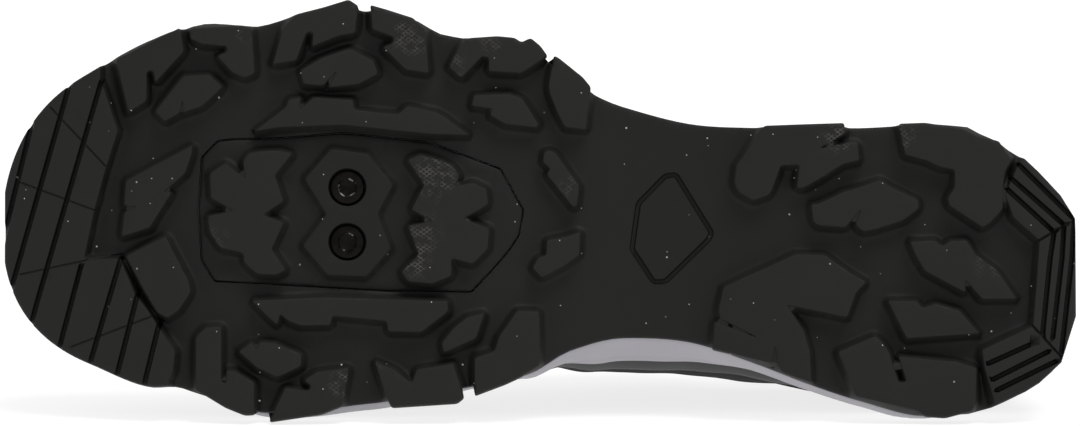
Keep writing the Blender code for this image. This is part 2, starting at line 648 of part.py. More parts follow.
def rim(side, share):
    """Point of the rim at a share of its length."""
    points, lengths = RIMS[side]
    wanted = max(0.0, min(1.0, share)) * lengths[-1]
    spot = max(i for i in range(len(lengths) - 1) if lengths[i] <= wanted)
    step = lengths[spot + 1] - lengths[spot]
    return points[spot].lerp(points[spot + 1], (wanted - lengths[spot]) / step if step else 0.0)


def rim_outward(side, share):
    """Level direction that points out of the rim, square to the ends where the sides meet."""
    if share <= 0:
        return Vector((1.0, 0.0))
    if share >= 1:
        return Vector((-1.0, 0.0))
    spread = min(0.025, share, 1 - share)
    way = (rim(side, share + spread) - rim(side, share - spread)).normalized()
    return Vector((way.y, -way.x)) * side


def foot_edge(side, share, inset):
    """Point on top of the midsole, a distance in from its edge."""
    spot = rim(side, share) - rim_outward(side, share) * inset
    return Vector((spot.x, spot.y, feather(spot.x / SOLE_LENGTH) + GAP))


def skin(side, share, up):
    """Outer face of the upper: share runs from toe tip to heel back, up from feather to edge."""
    foot = foot_edge(side, share, FEATHER_INSET)
    place = read(SECTIONS, "top", share)
    height = (TOE_BOX * read(SECTIONS, "box", share) + INSTEP * read(SECTIONS, "instep", share)
              + HEEL_HEIGHT * read(SECTIONS, "heel", share))
    middle = read(SPINE, "middle", place)
    top = Vector((place * SOLE_LENGTH, (middle + side * read(SECTIONS, "half", share)) * BALL_WIDTH,
                  feather(place) + height))
    push = read(SECTIONS, "lateral" if side > 0 else "medial", share) * BALL_WIDTH
    bulge = foot.lerp(top, read(SECTIONS, "bulge_in", share))
    bulge.xy += rim_outward(side, share) * push
    bulge.z = foot.z + (top.z - foot.z) * read(SECTIONS, "bulge_up", share)
    return foot * (1 - up) ** 2 + bulge * 2 * up * (1 - up) + top * up ** 2


def skin_normal(side, share, up):
    """Direction out of the upper's face."""
    step = 0.004
    along = skin(side, min(1, share + step), up) - skin(side, max(0, share - step), up)
    rise = skin(side, share, min(1, up + step)) - skin(side, share, max(0, up - step))
    return along.cross(rise).normalized() * side


def build_upper():
    """One hollow shell: the face from the sections, made solid inward by the wall."""

    def make(shape):
        columns = {}
        for side in (1, -1):
            for share in COLUMNS:
                for up in PROFILE:
                    shared = share in (0.0, 1.0) or (up == 1.0 and share <= THROAT_START)
                    key = (1 if shared else side, share, up)
                    if key not in columns:
                        columns[key] = shape.verts.new(skin(key[0], share, up))
                    columns[side, share, up] = columns[key]
        for side in (1, -1):
            for near, far in zip(COLUMNS, COLUMNS[1:]):
                for low, high in zip(PROFILE, PROFILE[1:]):
                    corners = [columns[side, near, low], columns[side, far, low],
                               columns[side, far, high], columns[side, near, high]]
                    if side > 0:
                        corners.reverse()
                    shape.faces.new(dict.fromkeys(corners))

    upper = new_object("upper", make)
    step = upper.modifiers.new("wall", "SOLIDIFY")
    step.thickness = WALL
    step.offset = -1
    step.use_even_offset = False
    step.use_rim = True
    return upper


def loft(name, outer, inner):
    """A closed solid between two grids of points with the same rows."""

    def make(shape):
        grids = [[[shape.verts.new(point) for point in row] for row in grid] for grid in (outer, inner)]
        for grid in grids:
            for near, far in zip(grid, grid[1:]):
                for i in range(len(near) - 1):
                    shape.faces.new((near[i], near[i + 1], far[i + 1], far[i]))
        one, two = grids
        last = len(one[0]) - 1
        for i in range(len(one) - 1):
            for j in (0, last):
                shape.faces.new((one[i][j], one[i + 1][j], two[i + 1][j], two[i][j]))
        for i in range(last):
            for row in (0, -1):
                shape.faces.new((one[row][i], one[row][i + 1], two[row][i + 1], two[row][i]))

    return new_object(name, make)


def build_insole():
    """Foot bed inside the upper's wall."""
    inset = FEATHER_INSET + WALL + INSOLE_CLEARANCE
    margin = 0.004
    shares = [margin + (1 - 2 * margin) * i / INSOLE_STEPS for i in range(INSOLE_STEPS + 1)]

    def layer(lift):
        rows = []
        for share in shares:
            lateral, medial = (foot_edge(side, share, inset) for side in (1, -1))
            row = (lateral, lateral.lerp(medial, 0.5), medial)
            rows.append([spot + Vector((0, 0, lift)) for spot in row])
        return rows

    return loft("insole", layer(INSOLE), layer(0.0))


def tongue_row(share, depth):
    """Points across the tongue: under one throat edge, over the gap, under the other."""
    sides = {way: [skin(way, share, up) - skin_normal(way, share, up) * depth for up in TONGUE_UPS]
             for way in (1, -1)}
    start, end = sides[1][-1], sides[-1][-1]
    crown = (start - end).length * TONGUE_CROWN
    middle = []
    for part in (0.25, 0.5, 0.75):
        spot = start.lerp(end, part)
        spot.z += crown * 4 * part * (1 - part)
        middle.append(spot)
    return sides[1] + middle + sides[-1][::-1]


def tongue_layer(depth):
    """Rows from under the vamp to past the top of the throat."""
    rows = [tongue_row(share, depth) for share in TONGUE_PLACES]
    front = [near + (near - far).normalized() * TONGUE_FRONT for near, far in zip(rows[0], rows[1])]
    centre = len(rows[-1]) // 2
    middle = rows[-1][centre]
    way = (middle - rows[-2][centre]).normalized()
    tails = []
    for reach, width in zip(*TONGUE_TAIL_ROWS.values()):
        tails.append([middle.lerp(near, width) + way * TONGUE_TAIL * reach for near in rows[-1]])
    return [front] + rows + tails


def build_tongue():
    near = WALL + TONGUE_CLEARANCE
    return loft("tongue", tongue_layer(near), tongue_layer(near + TONGUE))


def frame_at(spot, normal, x_hint=Vector((1, 0, 0))):
    """Placement with its z axis along a normal."""
    across = normal.cross(x_hint).normalized()
    forward = across.cross(normal)
    placed = Matrix((forward, across, normal)).transposed().to_4x4()
    placed.translation = spot
    return placed


def circle(radius, level, sides):
    """Points of a level ring round the z axis."""
    turns = [2 * math.pi * i / sides for i in range(sides)]
    return [Vector((radius * math.cos(turn), radius * math.sin(turn), level)) for turn in turns]


def bridge(shape, first, second):
    """Faces between two rings of the same number of points."""
    for i in range(len(first)):
        j = (i + 1) % len(first)
        shape.faces.new((first[i], first[j], second[j], second[i]))


def washer(name, placed):
    """A ring with a slanted edge."""

    def make(shape):
        rings = []
        for diameter, level in ((EYELET_HOLE, 0), (EYELET, 0), (EYELET * EYELET_TAPER, EYELET_HEIGHT),
                                (EYELET_HOLE, EYELET_HEIGHT)):
            ring = circle(diameter / 2, level, EYELET_SIDES)
            rings.append([shape.verts.new(placed @ spot) for spot in ring])
        for first, second in zip(rings, rings[1:] + rings[:1]):
            bridge(shape, first, second)

    return new_object(name, make)


def rod(name, rings):
    """A closed solid through rings of points."""

    def make(shape):
        loops = [[shape.verts.new(spot) for spot in ring] for ring in rings]
        for first, second in zip(loops, loops[1:]):
            bridge(shape, first, second)
        shape.faces.new(loops[0])
        shape.faces.new(reversed(loops[-1]))

    return new_object(name, make)


def seat_lift(side, share, up, spot, normal, reach):
    """How far the upper's face rises over a flat seat of a given radius."""
    lift = 0.0
    for i in range(-4, 5):
        for j in range(-4, 5):
            near = skin(side, share + 0.005 * i, min(1, up + 0.025 * j)) - spot
            rise = near.dot(normal)
            if (near - normal * rise).length < reach:
                lift = max(lift, rise)
    return lift


def build_eyelets(upper):
    """Rings at the lace holes, and the holes in the wall."""
    rings = []
    for side, word in ((1, "lateral"), (-1, "medial")):
        for number, share in enumerate(EYELET_PLACES, 1):
            normal = skin_normal(side, share, EYELET_UP)
            spot = skin(side, share, EYELET_UP)
            lift = GAP + seat_lift(side, share, EYELET_UP, spot, normal, EYELET / 2 + 2 * GAP)
            placed = frame_at(spot + normal * lift, normal)
            rings.append(washer(f"eyelet_{word}_{number}", placed))
            ends = [circle(EYELET_HOLE / 2, level, HOLE_SIDES) for level in (-2 * WALL, 2 * WALL)]
            drill = rod(f"drill_{word}_{number}", [[placed @ spot for spot in end] for end in ends])
            combine(upper, guide(drill), "DIFFERENCE")
    return rings


def through(before, start, end, after, part):
    """Point on the smooth curve through four points, between the middle two."""
    a = end - before
    b = 2 * before - 5 * start + 4 * end - after
    c = 3 * start - before - 3 * end + after
    return start + (a * part + b * part ** 2 + c * part ** 3) / 2


def lace_seat(side, share, up):
    """Middle of a lace that lies on the upper's face."""
    spot = skin(side, share, up)
    normal = skin_normal(side, share, up)
    lift = seat_lift(side, share, up, spot, normal, LACE)
    return spot + normal * (lift + LACE / 2 + LACE_CLEARANCE)


def lace_run(name, side, start, end):
    """One run of lace from one throat edge to the other, arched over the tongue."""
    near_edge = start + (end - start) * LACE_EDGE_SHARE
    far_edge = end + (start - end) * LACE_EDGE_SHARE
    holds = [lace_seat(side, start, LACE_UP), lace_seat(side, near_edge, 1.0),
             lace_seat(-side, far_edge, 1.0), lace_seat(-side, end, LACE_UP)]
    crown = (holds[1] - holds[2]).length * LACE_CROWN
    middle = (holds[1] + holds[2]) / 2 + Vector((0, 0, crown))
    route = [holds[0], holds[1], middle, holds[2], holds[3]]
    points = []
    for i in range(len(route) - 1):
        before = route[max(0, i - 1)]
        after = route[min(len(route) - 1, i + 2)]
        for part in (0.0, 0.5):
            points.append(through(before, route[i], route[i + 1], after, part))
    points.append(route[-1])
    points[0] += (points[0] - points[1]).normalized() * LACE * LACE_END
    points[-1] += (points[-1] - points[-2]).normalized() * LACE * LACE_END
    rings = []
    for i, spot in enumerate(points):
        before = points[max(0, i - 1)]
        after = points[min(len(points) - 1, i + 1)]
        placed = frame_at(spot, (after - before).normalized(), Vector((0, 0, 1)))
        rings.append([placed @ point for point in circle(LACE / 2, 0, LACE_SIDES)])
    return rod(name, rings)


def build_laces():
    """A bar at the first pair of eyelets and crossings up to the last, joined."""
    laces = lace_run("laces", 1, EYELET_PLACES[0], EYELET_PLACES[0])
    for number, (low, high) in enumerate(zip(EYELET_PLACES, EYELET_PLACES[1:]), 1):
        for side in (1, -1):
            run = lace_run(f"lace_run_{number}_{side + 1}", side, low, high)
            combine(laces, guide(run), "UNION")
    return laces


def finish(thing, name):
    """Gives an object its own material."""
    colour, roughness, metallic = FINISHES[name]
    material = bpy.data.materials.new(f"{thing.name}_{name}")
    material.use_nodes = True
    shader = material.node_tree.nodes["Principled BSDF"]
    shader.inputs["Base Color"].default_value = (*colour, 1)
    shader.inputs["Roughness"].default_value = roughness
    shader.inputs["Metallic"].default_value = metallic
    thing.data.materials.clear()
    thing.data.materials.append(material)


def solid_points(pieces):
    """World points of the finished pieces, and their volume centre."""
    bpy.context.view_layer.update()
    graph = bpy.context.evaluated_depsgraph_get()
    points = []
    weighted = Vector((0, 0, 0))
    volume = 0.0
    for piece in pieces:
        shown = piece.evaluated_get(graph)
        mesh = shown.to_mesh()
        mesh.calc_loop_triangles()
        spots = [vertex.co.copy() for vertex in mesh.vertices]
        for triangle in mesh.loop_triangles:
            a, b, c = (spots[i] for i in triangle.vertices)
            part = a.dot(b.cross(c)) / 6
            volume += part
            weighted += (a + b + c) * part / 4
        points += spots
        shown.to_mesh_clear()
    return points, weighted / volume


def resting_side(points, middle):
    """Outward normal of the hull facet on the medial side that lies under the middle."""
    shape = bmesh.new()
    for spot in points:
        shape.verts.new(spot)
    hull = bmesh.ops.convex_hull(shape, input=shape.verts)
    best = None
    for face in (item for item in hull["geom"] if isinstance(item, bmesh.types.BMFace)):
        normal = face.normal.copy()
        if (face.calc_center_median() - middle).dot(normal) < 0:
            normal.negate()
        if normal.y > -0.8:
            continue
        distance = (face.verts[0].co - middle).dot(normal)
        foot = middle + normal * distance
        spots = [vertex.co for vertex in face.verts]
        turns = [(b - a).cross(foot - a).dot(normal) for a, b in zip(spots, spots[1:] + spots[:1])]
        inside = all(turn >= 0 for turn in turns) or all(turn <= 0 for turn in turns)
        if inside and (best is None or distance < best[0]):
            best = (distance, normal)
    shape.free()
    return best[1]


def lay_down(pieces, everything):
    """Turns the standing shoe onto its medial side, toe to -X, sole to -Y, lowest point at z 0."""
    points, middle = solid_points(pieces)
    down = resting_side(points, middle)
    turn = down.rotation_difference(Vector((0, 0, -1))).to_matrix()
    toe = turn @ Vector((1, 0, 0))
    spin = Matrix.Rotation(math.pi - math.atan2(toe.y, toe.x), 3, "Z")
    placed = spin @ turn
    turned = [placed @ spot for spot in points]
    lows = [min(spot[axis] for spot in turned) for axis in range(3)]
    highs = [max(spot[axis] for spot in turned) for axis in range(3)]
    lying = bpy.data.objects.new("lying", None)
    bpy.context.scene.collection.objects.link(lying)
    for thing in everything:
        thing.parent = lying
    lying.matrix_world = placed.to_4x4()
    lying.location = (-(lows[0] + highs[0]) / 2, -(lows[1] + highs[1]) / 2, -lows[2])
    return lying


def main():
    for thing in list(bpy.data.objects):
        bpy.data.objects.remove(thing)
    outsole = build_outsole()
    cover = build_cover()
    screws = build_screws()
    midsole = build_midsole()
    upper = build_upper()
    insole = build_insole()
    tongue = build_tongue()
    eyelets = build_eyelets(upper)
    laces = build_laces()
    for thing in (outsole, cover):
        finish(thing, "outsole_rubber")
    finish(midsole, "midsole_foam")
    finish(upper, "upper_black")
    finish(insole, "lining_fabric")
    finish(tongue, "upper_black")
    finish(laces, "lace_black")
    for thing in screws:
        finish(thing, "screw_steel")
    for thing in eyelets:
        finish(thing, "eyelet_metal")
    pieces = [outsole, cover, *screws, midsole, upper, insole, tongue, *eyelets, laces]
    lay_down(pieces, list(bpy.context.scene.collection.objects))


main()
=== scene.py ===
# Looks of a left cycling shoe: moulded rubber tread, foam midsole, black upper and laces.
# Everything is worked out with the shoe standing: x from heel to toe, y to the lateral side, z up.
# The place matrix then lays it on its medial side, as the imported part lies.
import math
from functools import partial

import bpy
import numpy as np
from mathutils import Matrix, Vector
from mathutils.geometry import delaunay_2d_cdt


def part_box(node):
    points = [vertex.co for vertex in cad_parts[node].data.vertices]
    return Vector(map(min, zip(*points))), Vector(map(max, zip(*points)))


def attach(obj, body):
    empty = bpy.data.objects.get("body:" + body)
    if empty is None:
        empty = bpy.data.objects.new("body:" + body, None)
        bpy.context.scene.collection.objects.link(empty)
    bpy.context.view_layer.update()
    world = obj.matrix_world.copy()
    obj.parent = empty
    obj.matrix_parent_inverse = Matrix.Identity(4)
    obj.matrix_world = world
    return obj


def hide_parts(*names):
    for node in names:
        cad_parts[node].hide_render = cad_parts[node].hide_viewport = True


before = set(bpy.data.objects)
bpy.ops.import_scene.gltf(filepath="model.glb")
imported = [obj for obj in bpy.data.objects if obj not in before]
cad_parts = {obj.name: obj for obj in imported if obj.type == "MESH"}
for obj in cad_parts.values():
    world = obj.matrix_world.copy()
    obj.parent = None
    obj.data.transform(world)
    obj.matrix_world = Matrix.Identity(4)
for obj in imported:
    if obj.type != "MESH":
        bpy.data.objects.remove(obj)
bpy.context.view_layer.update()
mm = 0.001

# Sizes in metres, the same as the part's
shoe = {
    "length": 0.276, "ballWidth": 0.104, "lugHeight": 0.0045, "rubber": 0.0032, "toeSpring": 0.014,
    "archRise": 0.004, "heelBevel": 0.0035, "heelLift": 0.018, "ballLift": 0.009, "toeBox": 0.027,
    "instep": 0.070, "heelHeight": 0.072, "wall": 0.0024, "featherInset": 0.0026, "insole": 0.0035,
    "gap": 0.0003, "toeRound": 0.17, "toePower": 2.2, "toeEnd": 0.9975, "throatStart": 0.42,
}
# The photograph's scale on the tread, and the pixel that is the heel end of the sole's middle line
photo = {"pixel": 0.2574 * mm, "heelX": 1076, "middleY": 238, "width": 1080}
sides = {1: "lateral", -1: "medial"}


def chart(names, *rows):
    # A table with a name for each column
    return dict(zip(names.split(), np.array(rows, float).T))


# Middle line and half width of the sole, as shares of its width at the ball
outline = chart(
    "along centre half",
    (0.10, -0.084, 0.354), (0.14, -0.084, 0.359), (0.20, -0.069, 0.337), (0.25, -0.045, 0.317),
    (0.30, -0.020, 0.290), (0.36, 0.012, 0.270), (0.42, 0.038, 0.286), (0.47, 0.054, 0.334),
    (0.51, 0.067, 0.406), (0.56, 0.060, 0.428), (0.59, 0.060, 0.443), (0.61, 0.070, 0.461),
    (0.66, 0.074, 0.485), (0.71, 0.064, 0.4925), (0.76, 0.046, 0.476), (0.81, 0.070, 0.459),
    (0.835, 0.072, 0.440), (0.86, 0.061, 0.433), (0.92, 0.050, 0.405), (0.96, 0.043, 0.409),
    (1.00, 0.030, 0.416))
# What the heel's cut corners leave of the half width
heelCorners = chart(
    "along lateral medial",
    (0.000, 0.356, 0.322), (0.014, 0.520, 0.645), (0.035, 0.685, 0.790), (0.048, 0.775, 0.850),
    (0.078, 0.910, 0.955), (0.100, 1.000, 1.000))
# How much of toe spring, arch rise and heel bevel the tread's base has
rise = chart(
    "along toe arch heel",
    (0.00, 0.00, 0.00, 1.00), (0.03, 0.00, 0.00, 0.40), (0.06, 0.00, 0.00, 0.08),
    (0.09, 0.00, 0.00, 0.00), (0.24, 0.00, 0.00, 0.00), (0.30, 0.00, 0.35, 0.00),
    (0.36, 0.00, 0.85, 0.00), (0.41, 0.00, 1.00, 0.00), (0.47, 0.00, 0.65, 0.00),
    (0.54, 0.00, 0.18, 0.00), (0.60, 0.00, 0.00, 0.00), (0.76, 0.00, 0.00, 0.00),
    (0.82, 0.10, 0.00, 0.00), (0.88, 0.32, 0.00, 0.00), (0.94, 0.64, 0.00, 0.00),
    (1.00, 1.00, 0.00, 0.00))
# How much of its thickness at heel and ball the midsole has
lift = chart(
    "along heel ball",
    (0.00, 1.00, 0.00), (0.22, 0.97, 0.00), (0.35, 0.72, 0.10), (0.41, 0.55, 0.20),
    (0.50, 0.30, 0.50), (0.60, 0.10, 0.85), (0.70, 0.00, 1.00), (0.88, 0.00, 0.85),
    (1.00, 0.00, 0.75))
# How far the midsole's top edge stands out past the sole, in widths at the ball
flareChart = chart(
    "along lateral medial",
    (0.00, -0.012, -0.020), (0.10, -0.012, -0.016), (0.15, -0.010, 0.000), (0.22, -0.008, 0.002),
    (0.295, -0.008, 0.010), (0.344, -0.008, 0.038), (0.39, -0.008, 0.055), (0.437, -0.008, 0.055),
    (0.48, -0.008, 0.018), (0.53, -0.008, -0.006), (0.65, -0.008, 0.008), (0.74, -0.010, 0.002),
    (0.82, -0.014, -0.014), (1.00, -0.020, -0.022))
# Middle line of the upper's top edge, and its sections by their share from toe tip to heel back:
# place of the top, half width there, shares of the three heights, and where and how far it bulges
spine = chart(
    "along middle",
    (0.00, -0.080), (0.20, -0.067), (0.40, -0.011), (0.66, 0.035), (0.90, 0.045))
sections = chart(
    "along top half box instep heel bulgeUp bulgeIn lateral medial",
    (0.00, 0.905, 0.000, 0.95, 0.00, 0.00, 0.86, 0.00, 0.010, 0.010),
    (0.10, 0.885, 0.000, 1.02, 0.00, 0.00, 0.88, 0.00, 0.012, 0.012),
    (0.22, 0.820, 0.000, 1.16, 0.00, 0.00, 0.90, 0.00, 0.012, 0.012),
    (0.34, 0.735, 0.000, 1.02, 0.20, 0.00, 0.90, 0.02, 0.010, 0.010),
    (0.42, 0.675, 0.000, 0.52, 0.47, 0.00, 0.86, 0.06, 0.015, 0.010),
    (0.425, 0.668, 0.050, 0.50, 0.47, 0.00, 0.84, 0.06, 0.016, 0.012),
    (0.50, 0.585, 0.095, 0.20, 0.72, 0.00, 0.74, 0.10, 0.030, 0.112),
    (0.58, 0.490, 0.115, 0.00, 0.93, 0.00, 0.64, 0.16, 0.050, 0.168),
    (0.63, 0.430, 0.135, 0.00, 1.00, 0.00, 0.56, 0.20, 0.070, 0.165),
    (0.68, 0.365, 0.215, 0.00, 0.55, 0.37, 0.50, 0.24, 0.055, 0.118),
    (0.74, 0.290, 0.265, 0.00, 0.00, 0.74, 0.46, 0.28, 0.022, 0.022),
    (0.80, 0.215, 0.285, 0.00, 0.00, 0.69, 0.44, 0.30, 0.006, 0.008),
    (0.88, 0.125, 0.262, 0.00, 0.00, 0.79, 0.42, 0.30, 0.004, 0.004),
    (0.94, 0.066, 0.195, 0.00, 0.00, 0.91, 0.40, 0.30, 0.014, 0.014),
    (0.97, 0.048, 0.110, 0.00, 0.00, 0.98, 0.38, 0.30, 0.024, 0.024),
    (1.00, 0.042, 0.000, 0.00, 0.00, 1.00, 0.38, 0.30, 0.030, 0.030))

# Tread lugs: corner shares along the sole and across its half width, lateral side plus
edgeLugs = [
    ((0.892, 0.98), (0.832, 1.01), (0.828, 0.87), (0.855, 0.74), (0.857, 0.82), (0.863, 0.82),
     (0.863, 0.65), (0.880, 0.62)),
    ((0.822, 0.985), (0.772, 1.0), (0.765, 0.98), (0.762, 0.75), (0.772, 0.725), (0.783, 0.745),
     (0.797, 0.82), (0.788, 0.85), (0.788, 0.88), (0.811, 0.885), (0.822, 0.93)),
    ((0.7455, 0.78), (0.736, 0.95), (0.723, 1.0), (0.698, 1.015), (0.675, 1.05), (0.666, 1.02),
     (0.669, 0.88), (0.685, 0.865), (0.709, 0.82), (0.708, 0.895), (0.714, 0.895),
     (0.7235, 0.765)),
    ((0.655, 1.03), (0.640, 1.02), (0.615, 1.01), (0.604, 0.97), (0.6005, 0.745), (0.622, 0.725),
     (0.643, 0.82), (0.634, 0.85), (0.633, 0.885), (0.653, 0.905)),
    ((0.582, 0.815), (0.572, 0.94), (0.564, 1.0), (0.537, 1.03), (0.521, 1.03), (0.5145, 1.01),
     (0.506, 1.055), (0.497, 1.05), (0.490, 1.03), (0.515, 0.82), (0.545, 0.82), (0.545, 0.90),
     (0.551, 0.905), (0.570, 0.765)),
    ((0.4845, 1.075), (0.480, 1.095), (0.4575, 1.08), (0.450, 1.04), (0.4545, 0.68), (0.4745, 0.63),
     (0.4815, 0.70), (0.4885, 0.79), (0.4895, 0.84)),
    ((0.289, 1.01), (0.215, 1.03), (0.214, 0.955), (0.238, 0.826), (0.2105, 0.88),
     (0.203, 0.875), (0.201, 0.755), (0.2165, 0.72), (0.235, 0.61), (0.253, 0.51),
     (0.2596, 0.505), (0.257, 0.69), (0.274, 0.68), (0.282, 0.48), (0.285, 0.43),
     (0.300, 0.37), (0.3137, 0.43), (0.3175, 0.50), (0.3155, 0.66), (0.310, 0.73),
     (0.2988, 0.90)),
    ((0.1645, 1.01), (0.140, 1.01), (0.111, 0.985), (0.103, 0.97), (0.092, 0.925),
     (0.078, 0.908), (0.071, 0.893), (0.0665, 0.828), (0.0595, 0.764), (0.066, 0.688),
     (0.068, 0.590), (0.0685, 0.42), (0.080, 0.326), (0.0873, 0.292), (0.0905, 0.31),
     (0.118, 0.44), (0.120, 0.49), (0.113, 0.57), (0.113, 0.69), (0.128, 0.71),
     (0.1395, 0.75), (0.159, 0.79)),
    ((0.817, -0.70), (0.808, -0.635), (0.793, -0.61), (0.793, -0.90), (0.7885, -0.90),
     (0.7885, -0.83), (0.780, -0.82), (0.7625, -0.855), (0.7625, -1.02), (0.772, -1.035),
     (0.790, -1.03), (0.817, -0.985)),
    ((0.749, -1.05), (0.734, -0.875), (0.713, -0.90), (0.709, -0.88), (0.7165, -0.845),
     (0.705, -0.81), (0.675, -0.81), (0.681, -1.0), (0.700, -1.025)),
    ((0.651, -0.79), (0.6325, -0.845), (0.617, -0.93), (0.612, -0.86), (0.578, -0.855),
     (0.568, -1.06), (0.5745, -1.085), (0.6355, -1.04), (0.640, -0.985)),
    ((0.5585, -0.84), (0.540, -0.82), (0.536, -0.74), (0.519, -0.605), (0.4985, -0.64),
     (0.4975, -0.90), (0.498, -0.98), (0.516, -1.01), (0.530, -1.03), (0.545, -1.045),
     (0.5585, -1.06)),
    ((0.3277, -0.43), (0.2605, -0.015), (0.2335, 0.018), (0.211, -0.077), (0.195, -0.13),
     (0.2045, -0.215), (0.213, -0.415), (0.269, -0.44), (0.253, -0.61), (0.2475, -0.757),
     (0.2465, -0.99), (0.2725, -1.0), (0.2776, -0.96), (0.280, -0.80), (0.283, -0.955),
     (0.338, -1.02), (0.336, -0.765), (0.297, -0.783), (0.3305, -0.72), (0.3325, -0.645)),
    ((0.222, -0.69), (0.187, -0.505), (0.179, -0.555), (0.1745, -0.60), (0.1655, -0.80),
     (0.1585, -0.78), (0.166, -0.615), (0.111, -0.64), (0.0934, -0.685), (0.0943, -0.93),
     (0.098, -0.985), (0.122, -1.022), (0.141, -1.008), (0.1475, -0.972), (0.206, -0.98),
     (0.2157, -0.795)),
]
centreLugs = [
    ((0.855, 0.575), (0.829, 0.735), (0.805, 0.72), (0.792, 0.66), (0.811, 0.55), (0.829, 0.53),
     (0.8295, 0.60), (0.832, 0.53), (0.846, 0.50)),
    ((0.720, 0.71), (0.700, 0.76), (0.674, 0.80), (0.652, 0.745), (0.6475, 0.68), (0.666, 0.62),
     (0.694, 0.61), (0.686, 0.69), (0.6985, 0.62), (0.717, 0.64)),
    ((0.559, 0.675), (0.526, 0.69), (0.514, 0.67), (0.4985, 0.54), (0.5005, 0.515),
     (0.530, 0.51), (0.5445, 0.565), (0.541, 0.60), (0.561, 0.61)),
    ((0.494, 0.38), (0.4885, 0.41), (0.4825, 0.41), (0.461, 0.225), (0.463, 0.075),
     (0.467, 0.06), (0.4915, 0.24), (0.488, 0.29), (0.495, 0.31)),
    ((0.460, -0.12), (0.461, -0.30), (0.474, -0.37), (0.496, -0.43), (0.505, -0.36),
     (0.4995, -0.30), (0.492, -0.29), (0.4915, -0.19), (0.472, -0.16)),
    ((0.777, -0.71), (0.765, -0.645), (0.7605, -0.685), (0.758, -0.64), (0.7435, -0.645),
     (0.7185, -0.715), (0.7195, -0.775), (0.741, -0.82), (0.760, -0.775)),
    ((0.589, -0.73), (0.578, -0.655), (0.565, -0.60), (0.549, -0.59), (0.557, -0.73),
     (0.587, -0.785)),
    ((0.8825, 0.21), (0.820, 0.345), (0.8205, 0.30), (0.827, 0.19), (0.847, 0.10),
     (0.839, 0.09), (0.860, -0.085), (0.8865, -0.13), (0.884, 0.02), (0.872, 0.045),
     (0.884, 0.06)),
    ((0.8825, -0.25), (0.8455, -0.15), (0.823, -0.41), (0.8215, -0.46), (0.833, -0.575),
     (0.8435, -0.615), (0.853, -0.575), (0.865, -0.45)),
    ((0.2465, 0.385), (0.240, 0.40), (0.216, 0.515), (0.206, 0.545), (0.182, 0.615),
     (0.1706, 0.56), (0.147, 0.48), (0.146, 0.42), (0.1605, 0.335), (0.1857, 0.26),
     (0.198, 0.235), (0.2055, 0.28), (0.200, 0.395), (0.2145, 0.25), (0.240, 0.235),
     (0.2445, 0.26)),
    ((0.155, 0.19), (0.131, 0.20), (0.125, 0.16), (0.1175, 0.20), (0.102, 0.20),
     (0.0935, 0.10), (0.074, -0.005), (0.056, -0.204), (0.088, -0.207), (0.1035, -0.07),
     (0.1035, -0.16), (0.141, -0.01), (0.1495, 0.095)),
    ((0.1755, -0.24), (0.149, -0.215), (0.143, -0.265), (0.132, -0.235), (0.109, -0.285),
     (0.0905, -0.445), (0.158, -0.483), (0.168, -0.347)),
    ((0.7625, 0.45), (0.733, 0.545), (0.731, 0.58), (0.7195, 0.575), (0.7205, 0.515),
     (0.708, 0.565), (0.671, 0.54), (0.6695, 0.49), (0.629, 0.485), (0.621, 0.535),
     (0.594, 0.55), (0.585, 0.53), (0.563, 0.44), (0.600, 0.415), (0.680, 0.415),
     (0.740, 0.45)),
    ((0.765, -0.43), (0.752, -0.50), (0.741, -0.555), (0.7385, -0.50), (0.731, -0.54),
     (0.7195, -0.57), (0.692, -0.585), (0.690, -0.54), (0.640, -0.59), (0.6385, -0.645),
     (0.608, -0.665), (0.583, -0.56), (0.583, -0.50), (0.640, -0.475), (0.700, -0.44)),
]
toeBlockEdge = ((0.907, 0.93), (0.890, 0.53), (0.902, 0.30), (0.912, 0.05), (0.922, -0.285),
                (0.888, -0.265), (0.874, -0.47), (0.860, -0.58), (0.852, -0.66),
                (0.836, -0.80), (0.838, -0.92), (0.842, -0.965))
heelBlockEdge = ((0.0476, 0.763), (0.0551, 0.712), (0.0663, 0.524), (0.0588, 0.363),
                 (0.0345, 0.203), (0.0373, -0.085), (0.041, -0.393), (0.0887, -0.559),
                 (0.0859, -0.692), (0.0775, -0.910))
coverSeam = ((0.797, 0.375), (0.782, 0.400), (0.740, 0.400), (0.680, 0.380), (0.600, 0.375),
             (0.534, 0.25), (0.513, 0.0), (0.517, -0.15), (0.527, -0.24), (0.542, -0.34),
             (0.5615, -0.455), (0.640, -0.43), (0.800, -0.375), (0.812, -0.28), (0.815, 0.0),
             (0.812, 0.28))
coverBlocks = [
    ((0.768, 0.335), (0.757, 0.345), (0.738, 0.33), (0.727, 0.30), (0.7435, 0.21),
     (0.735, 0.07), (0.7545, 0.015), (0.735, -0.04), (0.7465, -0.165), (0.733, -0.28),
     (0.742, -0.30), (0.760, -0.29), (0.772, -0.24), (0.773, -0.19), (0.794, -0.195),
     (0.804, -0.12), (0.806, -0.04), (0.782, 0.02), (0.803, 0.06), (0.804, 0.19),
     (0.790, 0.26), (0.771, 0.20), (0.773, 0.29)),
    ((0.6205, 0.25), (0.609, 0.285), (0.589, 0.285), (0.578, 0.26), (0.572, 0.205),
     (0.577, 0.145), (0.560, 0.17), (0.547, 0.13), (0.5455, 0.04), (0.569, -0.04),
     (0.5445, -0.10), (0.546, -0.22), (0.560, -0.30), (0.580, -0.26), (0.5795, -0.36),
     (0.5975, -0.40), (0.620, -0.39), (0.6265, -0.34), (0.610, -0.25), (0.620, -0.10),
     (0.5975, -0.055), (0.617, -0.01), (0.605, 0.13)),
]
